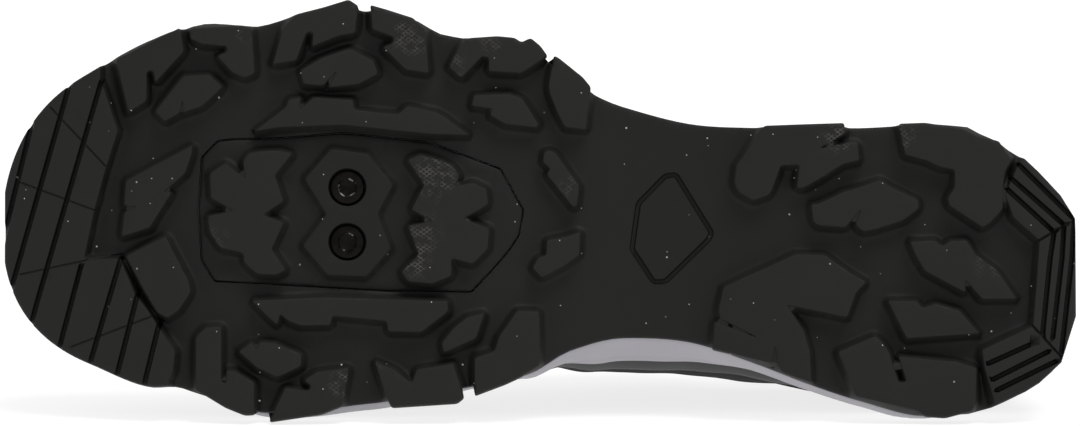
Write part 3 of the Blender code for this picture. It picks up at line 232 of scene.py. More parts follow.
screwBoss = ((0.692, 0.30), (0.658, 0.27), (0.634, 0.115), (0.6485, -0.035), (0.636, -0.215),
             (0.659, -0.355), (0.695, -0.33), (0.718, -0.167), (0.6956, -0.025), (0.7162, 0.165))
waistPanel = ((0.406, 0.184), (0.381, 0.477), (0.371, 0.509), (0.338, 0.04), (0.340, -0.02),
              (0.381, -0.48), (0.392, -0.496), (0.412, -0.224))


def within(value):
    return np.clip(value, 0, 1)


def smooth(value, low, high):
    # Rises from 0 at low to 1 at high without corners
    t = within((value - low) / (high - low))
    return t * t * (3 - 2 * t)


def roundedEdge(share):
    # Height of a quarter round over its share of the radius
    return np.sqrt(within(1 - (1 - within(share)) ** 2))


def span(vectors):
    return np.linalg.norm(vectors, axis=-1)


def unit(vectors):
    return vectors / np.maximum(span(vectors), 1e-12)[..., None]


def runAlong(line):
    # Distance from a line's start to each of its points
    return np.concatenate([[0], np.cumsum(span(np.diff(line, axis=0)))])


def readChart(table, name, at):
    # A column's value at places, on a smooth curve that never overshoots its rows; a side has its own
    xs, ys = table["along"], table[sides.get(name, name)]
    at = np.clip(np.asarray(at, float), xs[0], xs[-1])
    slopes = np.diff(ys) / np.diff(xs)
    product = slopes[:-1] * slopes[1:]
    total = np.where(product > 0, slopes[:-1] + slopes[1:], 1)
    tangents = np.concatenate([slopes[:1], np.where(product > 0, 2 * product / total, 0), slopes[-1:]])
    spot = np.clip(np.searchsorted(xs, at, side="right") - 1, 0, len(xs) - 2)
    width = xs[spot + 1] - xs[spot]
    t = (at - xs[spot]) / width
    start = (1 + 2 * t) * (1 - t) ** 2 * ys[spot] + t * (1 - t) ** 2 * width * tangents[spot]
    end = t * t * (3 - 2 * t) * ys[spot + 1] + t * t * (t - 1) * width * tangents[spot + 1]
    return start + end


def sumOf(table, at, **sizes):
    # Sizes added up, each times its own column
    return sum(size * readChart(table, name, at) for name, size in sizes.items())


def planPoint(along, across):
    # Places on the sole from shares along it and across its half width
    along, across = np.asarray(along, float), np.asarray(across, float)
    inside = within((along - (1 - shoe["toeRound"])) / shoe["toeRound"])
    half = readChart(outline, "half", along) * (1 - inside ** shoe["toePower"]) ** (1 / shoe["toePower"])
    y = (readChart(outline, "centre", along) + across * half) * shoe["ballWidth"]
    return np.stack([along * shoe["length"], y], -1)


def edgePoint(along, side):
    # Places on the sole's outline, with the heel's cut corners
    return planPoint(along, side * readChart(heelCorners, side, along))


def toeShares(count):
    # Shares along the rounded toe, closer together towards its tip
    return 1 - shoe["toeRound"] * (1 - np.sin(np.linspace(0, math.pi / 2, count)))


def photoPoint(x, y):
    # Place on the sole that a pixel of the photograph shows
    return np.array([(photo["heelX"] - x) * photo["pixel"], (photo["middleY"] - y) * photo["pixel"]])


def flare(along, side):
    return readChart(flareChart, side, along) * shoe["ballWidth"]


def treadBase(along):
    return shoe["lugHeight"] + sumOf(rise, along, toe=shoe["toeSpring"], arch=shoe["archRise"],
                                     heel=shoe["heelBevel"])


def midsoleLow(along):
    return treadBase(along) + shoe["rubber"] + shoe["gap"]


def feather(along):
    # Top of the midsole's edge, where the upper starts
    return midsoleLow(along) + sumOf(lift, along, heel=shoe["heelLift"], ball=shoe["ballLift"])


# The cleat screws: they give the place of the lying shoe, and are made last
screw = {"along": 0.6765, "middle": -0.0355, "spacing": 0.014, "head": 0.0086, "height": 0.0026,
         "recess": 0.0038, "clearance": 0.0005, "socket": 0.004, "socketDepth": 0.0016,
         "boss": 0.0022}


def lyingPlace():
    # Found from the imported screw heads: their pitch line, their axis and their seat
    heads = [np.array([v.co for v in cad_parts["cleat_screw_" + word].data.vertices])
             for word in sides.values()]
    centres = [(head.min(0) + head.max(0)) / 2 for head in heads]
    yAxis = unit(centres[0] - centres[1])
    zAxis = np.linalg.svd(heads[0] - heads[0].mean(0))[2][2]
    zAxis = unit(zAxis - yAxis * zAxis.dot(yAxis))
    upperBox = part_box("upper")
    if zAxis.dot(np.array((upperBox[0] + upperBox[1]) / 2) - centres[0]) < 0:
        zAxis = -zAxis
    turn = np.stack([np.cross(yAxis, zAxis), yAxis, zAxis], 1)
    turned = np.concatenate(heads) @ turn
    middle = (turned.min(0) + turned.max(0)) / 2
    middle[2] = turned[:, 2].max()
    x, y = planPoint(screw["along"], screw["middle"])
    seat = treadBase(screw["along"]) - screw["boss"] + screw["recess"] - shoe["gap"]
    placed = Matrix(turn.tolist()).to_4x4()
    placed.translation = Vector(turn @ (middle - np.array([x, y, float(seat)])))
    return placed


place = lyingPlace()
print("place of the lying shoe found from its screws")


def hexColour(code):
    # sRGB hex to linear red, green and blue, and full alpha
    parts = [int(code[i:i + 2], 16) / 255 for i in (1, 3, 5)]
    return [part / 12.92 if part <= 0.04045 else ((part + 0.055) / 1.055) ** 2.4 for part in parts] + [1]


def setUp(node, settings):
    # Fills a node's properties and sockets, or joins another node's output to a socket
    for key, value in settings.items():
        if not isinstance(key, int) and key not in node.inputs:
            setattr(node, key, value)
        elif isinstance(value, bpy.types.NodeSocket):
            node.id_data.links.new(value, node.inputs[key])
        else:
            node.inputs[key].default_value = hexColour(value) if isinstance(value, str) else value


def addNode(material, kind, settings, out=0):
    # Adds a node and gives back one of its outputs
    node = material.node_tree.nodes.new("ShaderNode" + kind)
    setUp(node, settings)
    return node.outputs[out]


# Settings that many nodes share
multiply, blend = {"operation": "MULTIPLY"}, {"data_type": "RGBA"}


def newMaterial(name):
    material = bpy.data.materials.new(name)
    material.use_nodes = True
    return material, partial(addNode, material)


def finished(material, surface):
    # The surface's own settings, given last, once its patterns are there
    setUp(material.node_tree.nodes["Principled BSDF"], surface)
    return material


def makePiece(name, points, faces, materials, faceSlots=None, plan=None, values=None, sharp=38):
    # One mesh from standing points, laid in place, with a plan map and named values for its materials
    mesh = bpy.data.meshes.new(name)
    mesh.from_pydata(np.asarray(points).tolist(), [], [tuple(face) for face in faces])
    for material in materials:
        mesh.materials.append(material)
    if faceSlots is not None:
        mesh.polygons.foreach_set("material_index", np.asarray(faceSlots, np.int32))
    if plan is None:
        plan = np.asarray(points)[:, :2]
    corners = np.empty(len(mesh.loops), np.int32)
    mesh.loops.foreach_get("vertex_index", corners)
    mesh.uv_layers.new(name="plan").data.foreach_set("uv", np.asarray(plan, np.float32)[corners].ravel())
    for key, numbers in (values or {}).items():
        mesh.attributes.new(key, "FLOAT", "POINT").data.foreach_set("value", np.asarray(numbers, np.float32))
    mesh.polygons.foreach_set("use_smooth", np.ones(len(mesh.polygons), bool))
    mesh.set_sharp_from_angle(angle=math.radians(sharp))
    mesh.transform(place)
    mesh.validate()
    mesh.update()
    piece = bpy.data.objects.new(name, mesh)
    bpy.context.scene.collection.objects.link(piece)
    print(name, "has", len(faces), "faces")
    return piece


def fitIn(piece, node=None, floorGap=None):
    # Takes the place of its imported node; what lies on the floor is pressed flat at floorGap
    if floorGap is not None:
        for vertex in piece.data.vertices:
            vertex.co.z = max(vertex.co.z, floorGap)
    if node:
        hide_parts(node)
    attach(piece, "root")


def edgeGaps(spots, starts, ends):
    # Distance from each spot to the nearest of the edges between starts and ends
    p, a, edge = spots[:, None], starts[None], (ends - starts)[None]
    t = within(((p - a) * edge).sum(-1) / np.maximum((edge ** 2).sum(-1), 1e-18))
    return span(p - a - t[..., None] * edge).min(1)


def depthInside(spots, loop, reach=1.0):
    # Distance inside a closed loop; minus outside, down to minus reach
    depth = np.full(len(spots), -reach)
    near = np.where(((spots > loop.min(0) - reach) & (spots < loop.max(0) + reach)).all(1))[0]
    after = np.roll(loop, -1, 0)
    drop = np.where(after[:, 1] == loop[:, 1], 1, after[:, 1] - loop[:, 1])
    for part in np.array_split(near, len(near) // 4000 + 1):
        x, y = spots[part].T[..., None]
        left = x < loop[:, 0] + (y - loop[:, 1]) / drop * (after[:, 0] - loop[:, 0])
        crossed = (loop[:, 1] > y) != (after[:, 1] > y)
        gap = edgeGaps(spots[part], loop, after)
        depth[part] = np.where((crossed & left).sum(1) % 2 == 1, gap, -np.minimum(gap, reach))
    return depth


def spaced(line, spacing, closed):
    # A line with points added so that none are farther apart than spacing
    ends = np.roll(line, -1, 0) if closed else line[1:]
    points = []
    for start, end in zip(line, ends):
        count = max(1, math.ceil(span(end - start) / spacing))
        points += [start + (end - start) * i / count for i in range(count)]
    return np.array(points if closed else points + [line[-1]])


def roundLoop(loop, radius, spacing):
    # A loop with rounded corners and points no farther apart than spacing
    rounded = []
    for i, here in enumerate(loop):
        before, after = loop[i - 1] - here, loop[(i + 1) % len(loop)] - here
        start, end = (here + way * min(0.42, radius / span(way)) for way in (before, after))
        for t in (0.0, 0.33, 0.67, 1.0):
            rounded.append(start * (1 - t) ** 2 + here * 2 * t * (1 - t) + end * t * t)
    return spaced(np.array(rounded), spacing, True)


def movedLoop(loop, distance):
    # The loop's points moved outward by a distance, and which of them still stand that far off
    area = (loop[:, 0] * np.roll(loop[:, 1], -1) - loop[:, 1] * np.roll(loop[:, 0], -1)).sum()
    way = unit(np.roll(loop, -1, 0) - np.roll(loop, 1, 0))
    moved = loop + np.stack([way[:, 1], -way[:, 0]], 1) * np.sign(area) * distance
    off = np.abs(depthInside(moved, loop) + distance)
    return moved, off < abs(distance) * 0.2 + 0.01 * mm


class Lines:
    # Points and edges that the tread's mesh must follow
    def __init__(self):
        self.points, self.edges = [], []

    def add(self, line, closed, keep=None):
        keep = np.ones(len(line), bool) if keep is None else keep
        index = np.cumsum(keep) - 1 + len(self.points)
        self.points += list(line[keep])
        for i in range(len(line) if closed else len(line) - 1):
            j = (i + 1) % len(line)
            if keep[i] and keep[j] and span(line[i] - line[j]) < tread["longest"]:
                self.edges.append((int(index[i]), int(index[j])))


# Moulding of the tread: edge radii, draft of the flanks, and the mesh's own spacing
tread = {"bevel": 0.45 * mm, "draft": 1.1 * mm, "fillet": 1.1 * mm, "corner": 0.7 * mm,
         "edgeRound": 0.9 * mm, "spacing": 1.6 * mm, "longest": 3 * mm, "grid": 2.4 * mm,
         "shoulder": 0.94, "foot": 0.14, "beyond": 6 * mm, "proudLength": 40 * mm,
         "wellEdge": 0.4 * mm, "rootWall": 1 * mm, "past": 40 * mm}
tread["reach"] = tread["draft"] + tread["fillet"]


def lugShare(depth):
    # How much of its height a lug has at a distance inside the outline of its tip
    shoulder, foot = tread["shoulder"], tread["foot"]
    top = shoulder + (1 - shoulder) * roundedEdge(depth / tread["bevel"])
    flank = foot + (shoulder - foot) * (1 + depth / tread["draft"])
    root = foot * within(1 + (depth + tread["draft"]) / tread["fillet"]) ** 2
    return np.where(depth >= 0, top, np.where(depth > -tread["draft"], flank, root))


def edgeRise(depth, radius):
    # How far a rounded edge draws back at a distance inside it
    return radius * (1 - roundedEdge(depth / radius))


def plateLines(region, lugs, cuts, wells, holes):
    # Outline, lug steps, slits and wells, as lines for the plate's mesh
    lines = Lines()
    for inset in (0.0, 0.3, 1.0):
        moved, keep = movedLoop(region, -tread["edgeRound"] * inset)
        lines.add(moved, True, keep)
    for hole in holes:
        lines.add(hole, True)
    for loop, _ in lugs:
        for distance in (-tread["bevel"], -tread["bevel"] * 0.3, 0.0, tread["draft"],
                         tread["draft"] + tread["fillet"] * 0.5, tread["reach"]):
            moved, keep = movedLoop(loop, distance)
            lines.add(moved, True, keep & (depthInside(moved, region, 8 * mm) > -tread["beyond"]))
    for line, width, _ in cuts:
        way = unit(line[1:] - line[:-1])
        normals = np.stack([way[:, 1], -way[:, 0]], 1)
        normals = np.concatenate([normals, normals[-1:]])
        for share in (-0.5, -1.0, 0.5, 1.0):
            lines.add(line + normals * width * share, False)
    turns = np.linspace(0, 2 * math.pi, 48, endpoint=False)
    for centre, radius, _ in wells:
        for wider in (0.4, 0.15, 0.0, -0.12):
            lines.add(centre + np.stack([np.cos(turns), np.sin(turns)], 1) * (radius + wider * mm), True)
    return lines


def rubberMould(name, region, lugs, material, cuts=(), wells=(), holes=()):
    # A moulded rubber plate with lugs, slits and wells, as one mesh open towards the shoe
    lines = plateLines(region, lugs, cuts, wells, holes)
    low, high = np.array(lines.points).min(0), np.array(lines.points).max(0)
    grid = np.stack(np.meshgrid(np.arange(low[0], high[0], tread["grid"]),
                                np.arange(low[1], high[1], tread["grid"])), -1).reshape(-1, 2)
    # Every other point of the grid stands a little aside, so that it isn't square
    grid += (np.arange(len(grid)) % 2 * 0.5 * tread["grid"])[:, None] * np.array([0.0, 0.3])
    points = np.concatenate([np.array(lines.points), grid])
    made = delaunay_2d_cdt([Vector(p) for p in points / mm], lines.edges, [], 0, 1e-4)
    flat = np.array([tuple(v) for v in made[0]]) * mm
    triangles = np.array([face for face in made[2] if len(face) == 3])
    middles = flat[triangles].mean(1)
    wide = depthInside(middles, region) > 0
    # Small lugs may stand out past the plate's outline
    proud = [loop for loop, _ in lugs
             if (depthInside(loop, region) < -0.1 * mm).any()
             and np.ptp(loop[:, 0]) < tread["proudLength"]]
    for loop in proud:
        wide |= depthInside(middles, loop, 1 * mm) > 0
    for hole in holes:
        wide &= depthInside(middles, hole, 1 * mm) < 0
    used, inverse = np.unique(triangles[wide], return_inverse=True)
    flat, triangles = flat[used], inverse.reshape(-1, 3)

    # Heights: lugs down from the base, edges rounded off, slits and wells let in
    height = np.zeros(len(flat))
    for loop, size in lugs:
        height = np.maximum(height, lugShare(depthInside(flat, loop, tread["reach"] * 1.01)) * size)
    edgeDepth = depthInside(flat, region)
    unionDepth = edgeDepth.copy()
    for loop in proud:
        unionDepth = np.maximum(unionDepth, depthInside(flat, loop, 2 * mm))
    for hole in holes:
        unionDepth = np.minimum(unionDepth, -depthInside(flat, hole, 2 * mm) + tread["edgeRound"] * 0.6)
    z = treadBase(flat[:, 0] / shoe["length"]) - height + edgeRise(unionDepth, tread["edgeRound"])
    groove = np.zeros(len(flat))
    for line, width, depth in cuts:
        far = edgeGaps(flat, line[:-1], line[1:])
        groove = np.maximum(groove, depth * (1 - smooth(far, width * 0.45, width)))
    z += groove
    for centre, radius, floor in wells:
        far = span(flat - centre)
        z = np.where(far < radius - 0.06 * mm, floor, z + edgeRise(far - radius, tread["wellEdge"]) * 0.8)

    # The wall round the plate: straight over the lug's root, then in to the plate's own outline
    cornerPairs = np.concatenate([triangles[:, [1, 0]], triangles[:, [2, 1]], triangles[:, [0, 2]]])
    pairs = {tuple(pair) for pair in cornerPairs.tolist()}
    border = [pair for pair in pairs if pair[::-1] not in pairs]
    rim = sorted({i for pair in border for i in pair})
    nearest = flat[rim].copy()
    outside = edgeDepth[rim] < -0.05 * mm
    if outside.any():
        nearest[outside] = region[span(nearest[outside][:, None] - region[None]).argmin(1)]
    rootZ = np.maximum(z[rim], treadBase(flat[rim, 0] / shoe["length"]) + tread["rootWall"])
    topZ = treadBase(nearest[:, 0] / shoe["length"]) + shoe["rubber"]
    solid = np.concatenate([np.column_stack([flat, z]), np.column_stack([flat[rim], rootZ]),
                            np.column_stack([nearest, topZ])])
    faces = [tuple(corners) for corners in triangles[:, ::-1].tolist()]
    number = {i: len(flat) + n for n, i in enumerate(rim)}
    for i, j in border:
        a, b = number[i], number[j]
        faces += [(i, j, b, a), (a, b, b + len(rim), a + len(rim))]

    rubbed = np.zeros(len(solid))
    for x, y, size, strength in rubMarks:
        far = span(solid[:, :2] - photoPoint(x, y)) / photo["pixel"]
        rubbed = np.maximum(rubbed, strength * (1 - smooth(far, size * 0.5, size)))
    tip = np.concatenate([height / shoe["lugHeight"], np.zeros(2 * len(rim))])
    return makePiece(name, solid, faces, [material], values={"tip": tip, "hatch": rubbed})


def mouldedRubber():
    # Black carbon-filled rubber, moulded matte: nearly black, with grey rub marks on what touches
    # the ground, a fine sandblasted skin and pale dust
    look = {"black": "#161615", "worn": "#1d1d1c", "hatch": "#504e49", "dust": "#c9c6bf",
            "grit": 0.45 * mm, "blotch": 9 * mm, "hatchPitch": 0.9 * mm, "hatchTurn": 0.95,
            "hatchBreak": 2.2 * mm, "dustCell": 5.5 * mm}
    material, add = newMaterial("mouldedTreadRubber")
    plan, solid = add("UVMap", {"uv_map": "plan"}), add("TexCoord", {}, "Object")
    tip, hatch = [add("Attribute", {"attribute_name": name}, "Fac") for name in ("tip", "hatch")]
    blotch = add("TexNoise", {"Scale": 1 / look["blotch"], "Detail": 4.0, "Vector": solid})
    grit = add("TexNoise", {"Scale": 1 / look["grit"], "Detail": 3.0, "Vector": solid})
    wearTip = add("MapRange", {"From Min": 0.75, "From Max": 1.0, "To Max": 0.75, "Value": tip})
    wearBlotch = add("MapRange", {"From Min": 0.3, "From Max": 0.7, "To Min": 0.55, "Value": blotch})
    wear = add("Math", multiply | {0: wearTip, 1: wearBlotch})
    colour = add("Mix", blend | {0: wear, 6: look["black"], 7: look["worn"]}, 2)
    # Cross-hatched rub marks: two sets of slanted lines, where the hatch value is high
    bands = []
    for turn in (look["hatchTurn"], -look["hatchTurn"]):
        turned = add("Mapping", {"Rotation": (0, 0, turn), "Vector": plan})
        # A wave's bands stand pi / 10 of its scaled space apart
        wave = add("TexWave", {"Scale": math.pi / 10 / look["hatchPitch"], "Distortion": 1.2,
                               "Detail": 2.0, "Detail Scale": 1.5, "Vector": turned}, "Fac")
        bands.append(add("MapRange", {"From Min": 0.72, "From Max": 0.95, "Value": wave}))
    crossed = add("Math", {"operation": "MAXIMUM", 0: bands[0], 1: bands[1]})
    broken = add("TexNoise", {"Scale": 1 / look["hatchBreak"], "Detail": 2.0, "Vector": plan})
    kept = add("MapRange", {"From Min": 0.42, "From Max": 0.6, "Value": broken})
    lines = add("Math", multiply | {0: crossed, 1: kept})
    onTip = add("Math", multiply | {0: hatch, 1: wearTip})
    rubbed = add("Math", multiply | {0: lines, 1: onTip})
    dusted = add("Mix", blend | {0: rubbed, 6: colour, 7: look["hatch"]}, 2)
    # Dust: one small speck in some cells, of two sizes
    for cell, share, size in ((look["dustCell"], 0.14, 0.026), (look["dustCell"] * 1.9, 0.09, 0.022)):
        middle = add("TexVoronoi", {"voronoi_dimensions": "2D", "Scale": 1 / cell, "Vector": plan})
        speck = add("Math", {"operation": "LESS_THAN", 0: middle, 1: size})
        chance = add("SeparateColor", {"Color": middle.node.outputs["Color"]})
        some = add("Math", {"operation": "LESS_THAN", 0: chance, 1: share})
        thick = add("MapRange", {"To Min": 0.15, "To Max": 0.9, "Value": chance.node.outputs[1]})
        seen = add("Math", multiply | {0: some, 1: thick})
        dust = add("Math", multiply | {0: speck, 1: seen})
        dusted = add("Mix", blend | {0: dust, 6: dusted, 7: look["dust"]}, 2)
    skin = add("Bump", {"Strength": 0.35, "Distance": 0.06 * mm, "Height": grit})
    raised = add("Bump", {"Strength": 0.6, "Distance": 0.12 * mm, "Height": rubbed, "Normal": skin})
    rough = add("MapRange", {"To Min": 0.55, "To Max": 0.7, "Value": blotch})
    return finished(material, {"IOR": 1.52, "Specular IOR Level": 0.2, "Base Color": dusted,
                               "Normal": raised, "Roughness": rough})


# The sole's own outline, from the heel along the lateral side to the toe and back
shares = np.concatenate([heelCorners["along"], np.arange(0.13, 0.83, 0.01), toeShares(40)])
shares = np.unique(np.round(np.minimum(shares, shoe["toeEnd"]), 5))
soleLoop = spaced(np.concatenate([edgePoint(shares, 1), edgePoint(shares, -1)[::-1]]),
                  tread["spacing"], True)


def lugLoop(corners):
    return roundLoop(planPoint(*np.array(corners).T), tread["corner"], tread["spacing"])


def blockLoop(edge, end):
    # A block's inner edge, closed past the end of the sole
    side = shoe["ballWidth"]
    inner = planPoint(*np.array(edge).T)
    outer = [[inner[-1, 0], -side], [end, -side], [end, side]]
    return roundLoop(np.concatenate([[[inner[0, 0], side]], inner, outer]), tread["corner"], tread["spacing"])


def photoLine(*pixels):
    return spaced(np.array([photoPoint(x, y) for x, y in pixels]), tread["spacing"], False)


def planLine(*places):
    return spaced(planPoint(*np.array(places).T), tread["spacing"], False)


# Slits of the toe block and ribs of the heel block: half width and depth
slit, hairline = (0.72 * mm, 2.6 * mm), (0.28 * mm, 0.4 * mm)
seam, panelGroove = (0.35 * mm, 1.0 * mm), (0.75 * mm, 1.0 * mm)
toeSlits = [photoLine((104.6, 81.5), (40, 300), (30, 336)), photoLine((72, 85), (17.7, 272), (10, 298)),
            photoLine((34, 122), (5.4, 236), (2, 250)), photoLine((84.2, 266), (63.8, 342), (58, 364)),
            photoLine((125, 258), (95, 358), (90, 376)), photoLine((142.6, 290.6), (119.5, 380), (116, 393)),
            photoLine((164.3, 320), (149.4, 380), (146, 394))]
toeHairs = [photoLine((53, 106), (109, 166)), photoLine((18, 179), (98, 210)),
            photoLine((23, 273), (125, 253)), photoLine((75, 346), (158, 316))]
heelSlits = [planLine((0.0535, 0.732), (0.0037, 0.368)), planLine((0.0598, 0.629), (0.0124, 0.321)),
             planLine((0.0635, 0.554), (0.0224, 0.274)),
             planLine((0.0205, 0.258), (0.0243, 0.083), (0.0317, -0.439)),
             planLine((0.0112, 0.30), (0.0131, 0.083), (0.0224, -0.476)),
             planLine((0.0019, 0.349), (0.0037, 0.083), (0.014, -0.567)),
             planLine((0.0822, -0.653), (0.0436, -0.523)), planLine((0.0784, -0.765), (0.0261, -0.569)),
             planLine((0.0747, -0.84), (0.0187, -0.635))]
heelSeams = [planLine((0.0345, 0.203), (0.0, 0.356)), planLine((0.041, -0.393), (0.014, -0.61))]
panelLoop = lugLoop(waistPanel)
panelLine = np.concatenate([panelLoop, panelLoop[:1]])
cuts = [(line, *size) for group, size in ((toeSlits + heelSlits, slit), (toeHairs, hairline),
                                          (heelSeams, seam), ([panelLine], panelGroove))
        for line in group]
# Rubbed places: pixel, radius in pixels, strength
rubMarks = [(408, 38, 16, 1.0), (418, 46, 14, 0.8), (493, 47, 13, 0.7), (459, 60, 12, 0.6),
            (437, 178, 26, 0.9), (424, 235, 22, 0.8), (418, 262, 18, 1.0), (840, 140, 18, 1.0),
            (902, 138, 17, 0.8), (345, 385, 16, 1.0), (572, 188, 14, 0.5), (990, 262, 22, 0.4),
            (250, 39, 9, 0.6), (458, 80, 10, 0.5), (385, 360, 12, 0.5), (215, 240, 18, 0.35)]
rubber = mouldedRubber()
lugs = ([(lugLoop(corners), shoe["lugHeight"]) for corners in edgeLugs + centreLugs]
        + [(blockLoop(toeBlockEdge, shoe["length"] + tread["past"]), shoe["lugHeight"]),
           (blockLoop(heelBlockEdge, -tread["past"]), shoe["lugHeight"])])
pocket = movedLoop(lugLoop(coverSeam), shoe["gap"])[0]
sole = rubberMould("tread_sole", soleLoop, lugs, rubber, cuts, holes=[pocket])
fitIn(sole, "outsole", 0.0)

screwMiddle = planPoint(screw["along"], screw["middle"])
screwCentres = {side: screwMiddle + np.array([0, side * screw["spacing"] / 2]) for side in sides}
bossFace = float(treadBase(screw["along"])) - screw["boss"]
wells = [(centre, screw["head"] / 2 + screw["clearance"], bossFace + screw["recess"])
         for centre in screwCentres.values()]
coverLugs = ([(lugLoop(corners), shoe["lugHeight"]) for corners in coverBlocks]
             + [(lugLoop(screwBoss), screw["boss"])])
cover = rubberMould("cleat_pocket_cover", lugLoop(coverSeam), coverLugs, rubber, wells=wells)
fitIn(cover, "cleat_cover")


# The rim is the edge of the midsole's top, from toe tip to heel back, on each side
def rimPath(side):
    places = toeShares(91)[::-1] - 1 + shoe["toeEnd"]
    places = np.concatenate([places, places[-1] * (1 - np.arange(1, 181) / 180)])
    points = edgePoint(places, side)
    points[:, 1] += side * flare(places, side)
    heelBack = (edgePoint(0.0, 1) + edgePoint(0.0, -1)) / 2
    points = np.vstack([planPoint(shoe["toeEnd"], 0.0), points, heelBack])
    lengths = runAlong(points)
    return points, lengths / lengths[-1]


rims = {side: rimPath(side) for side in sides}


def rimPoint(side, share):
    points, lengths = rims[side]
    return np.stack([np.interp(share, lengths, points[:, axis]) for axis in (0, 1)], -1)


def softRim(side, share, reach=0.035):
    # The rim with its corners rounded off: the mean of places round a share, over both ends too
    total = 0
    for offset in np.linspace(-reach, reach, 9):
        moved = share + offset
        own = rimPoint(side, within(moved))
        other = rimPoint(-side, within(np.where(moved < 0, -moved, 2 - moved)))
        total = total + np.where(((moved < 0) | (moved > 1))[..., None], other, own)
    return total / 9


def rimOutward(side, share, reach=0.025):
    # Level direction out of the rim; the two ends face straight on
    share = np.asarray(share, float)
    step = np.minimum(reach, np.minimum(share, 1 - share))
    way = unit(rimPoint(side, share + step) - rimPoint(side, share - step))
    outward = np.stack([way[..., 1], -way[..., 0]], -1) * side
    outward = np.where((share <= 0)[..., None], np.array([1.0, 0.0]), outward)
    return np.where((share >= 1)[..., None], np.array([-1.0, 0.0]), outward)


def footEdge(side, share, inset):
    # Point on top of the midsole, a distance in from its edge
    spot = rimPoint(side, share) - rimOutward(side, share) * inset
    return np.concatenate([spot, (feather(spot[..., 0] / shoe["length"]) + shoe["gap"])[..., None]], -1)


def skin(side, share, up):
    # Outer face of the upper: share runs from toe tip to heel back, up from feather to top edge
    share, up = np.broadcast_arrays(np.asarray(share, float), np.asarray(up, float))
    foot = footEdge(side, share, shoe["featherInset"])
    at = readChart(sections, "top", share)
    height = sumOf(sections, share, box=shoe["toeBox"], instep=shoe["instep"], heel=shoe["heelHeight"])
    middle = readChart(spine, "middle", at) + side * readChart(sections, "half", share)
    top = np.stack([at * shoe["length"], middle * shoe["ballWidth"], feather(at) + height], -1)
    push = readChart(sections, side, share) * shoe["ballWidth"]
    bulge = foot + (top - foot) * readChart(sections, "bulgeIn", share)[..., None]
    bulge[..., :2] += rimOutward(side, share) * push[..., None]
    # Over the cornered heel the bulge follows a rounder line than the midsole's edge
    heelward = smooth(share, 0.80, 0.90)[..., None]
    bulge[..., :2] += (softRim(side, share) - rimPoint(side, share)) * heelward
    bulge[..., 2] = foot[..., 2] + (top[..., 2] - foot[..., 2]) * readChart(sections, "bulgeUp", share)
    t = up[..., None]
    return foot * (1 - t) ** 2 + bulge * 2 * t * (1 - t) + top * t ** 2


def skinNormal(side, share, up, step=0.004):
    # Direction out of the upper's face; where both sides meet, both count
    share, up = np.broadcast_arrays(np.asarray(share, float), np.asarray(up, float))

    def facing(way):
        alongWay = skin(way, np.minimum(1, share + step), up) - skin(way, np.maximum(0, share - step), up)
        upWay = skin(way, share, np.minimum(1, up + step)) - skin(way, share, np.maximum(0, up - step))
        return unit(np.cross(alongWay, upWay) * way)

    own = facing(side)
    seamed = ((share <= 0) | (share >= 1) | ((up >= 1) & (share <= shoe["throatStart"])))[..., None]
    return np.where(seamed, unit(own + facing(-side)), own)


# Panels of the upper, as lines in share and up; steps and swellings in metres
upperLook = {"overlay": 0.8 * mm, "capEnd": 0.235, "capSlant": 0.05, "stayUp": 0.70, "stayFront": 0.396,
             "stayBack": 0.676, "collarUp": 0.74, "collarStart": 0.69, "collarSwell": 1.4 * mm,
             "collarPad": 3.2 * mm, "collarSeam": 0.5 * mm, "crease": 0.9 * mm, "shares": 230, "ups": 64,
             "innerUps": 26, "planLength": 0.33, "planHeight": 0.085, "stepAlong": 0.004, "stepUp": 0.014,
             # Flex creases over the toes: place, depth and half width
             "flexes": ((0.285, 0.8, 0.010), (0.325, 1.0, 0.012), (0.368, 0.7, 0.010)),
             # Folds at the ankle: place, height and depth
             "folds": ((0.70, 0.50, 0.9), (0.745, 0.42, 0.6))}
randTop = chart("along up", (0.00, 0.40), (0.12, 0.36), (0.24, 0.24), (0.45, 0.16), (0.62, 0.17),
                (0.80, 0.22), (1.00, 0.25))
counterTop = chart("along up", (0.78, 0.00), (0.82, 0.26), (0.87, 0.46), (0.93, 0.57), (1.00, 0.60))


def past(value, line, half):
    # A step over a line: 0 before it, 1 after it, rising over half to each side
    return smooth(value, line - half, line + half)


def panelShare(share, up):
    # How far the overlays of smooth synthetic leather cover the cloth
    counterUp = np.where(share < 0.78, -0.1, readChart(counterTop, "up", share))
    along, upward = upperLook["stepAlong"], upperLook["stepUp"]
    bare = (past(share, upperLook["capEnd"] - upperLook["capSlant"] * up, along)
            * past(up, readChart(randTop, "up", share), upward) * past(up, counterUp, upward))
    stay = (past(up, upperLook["stayUp"], upward) * past(share, upperLook["stayFront"], along)
            * (1 - past(share, upperLook["stayBack"], along)))
    return 1 - bare * (1 - stay)


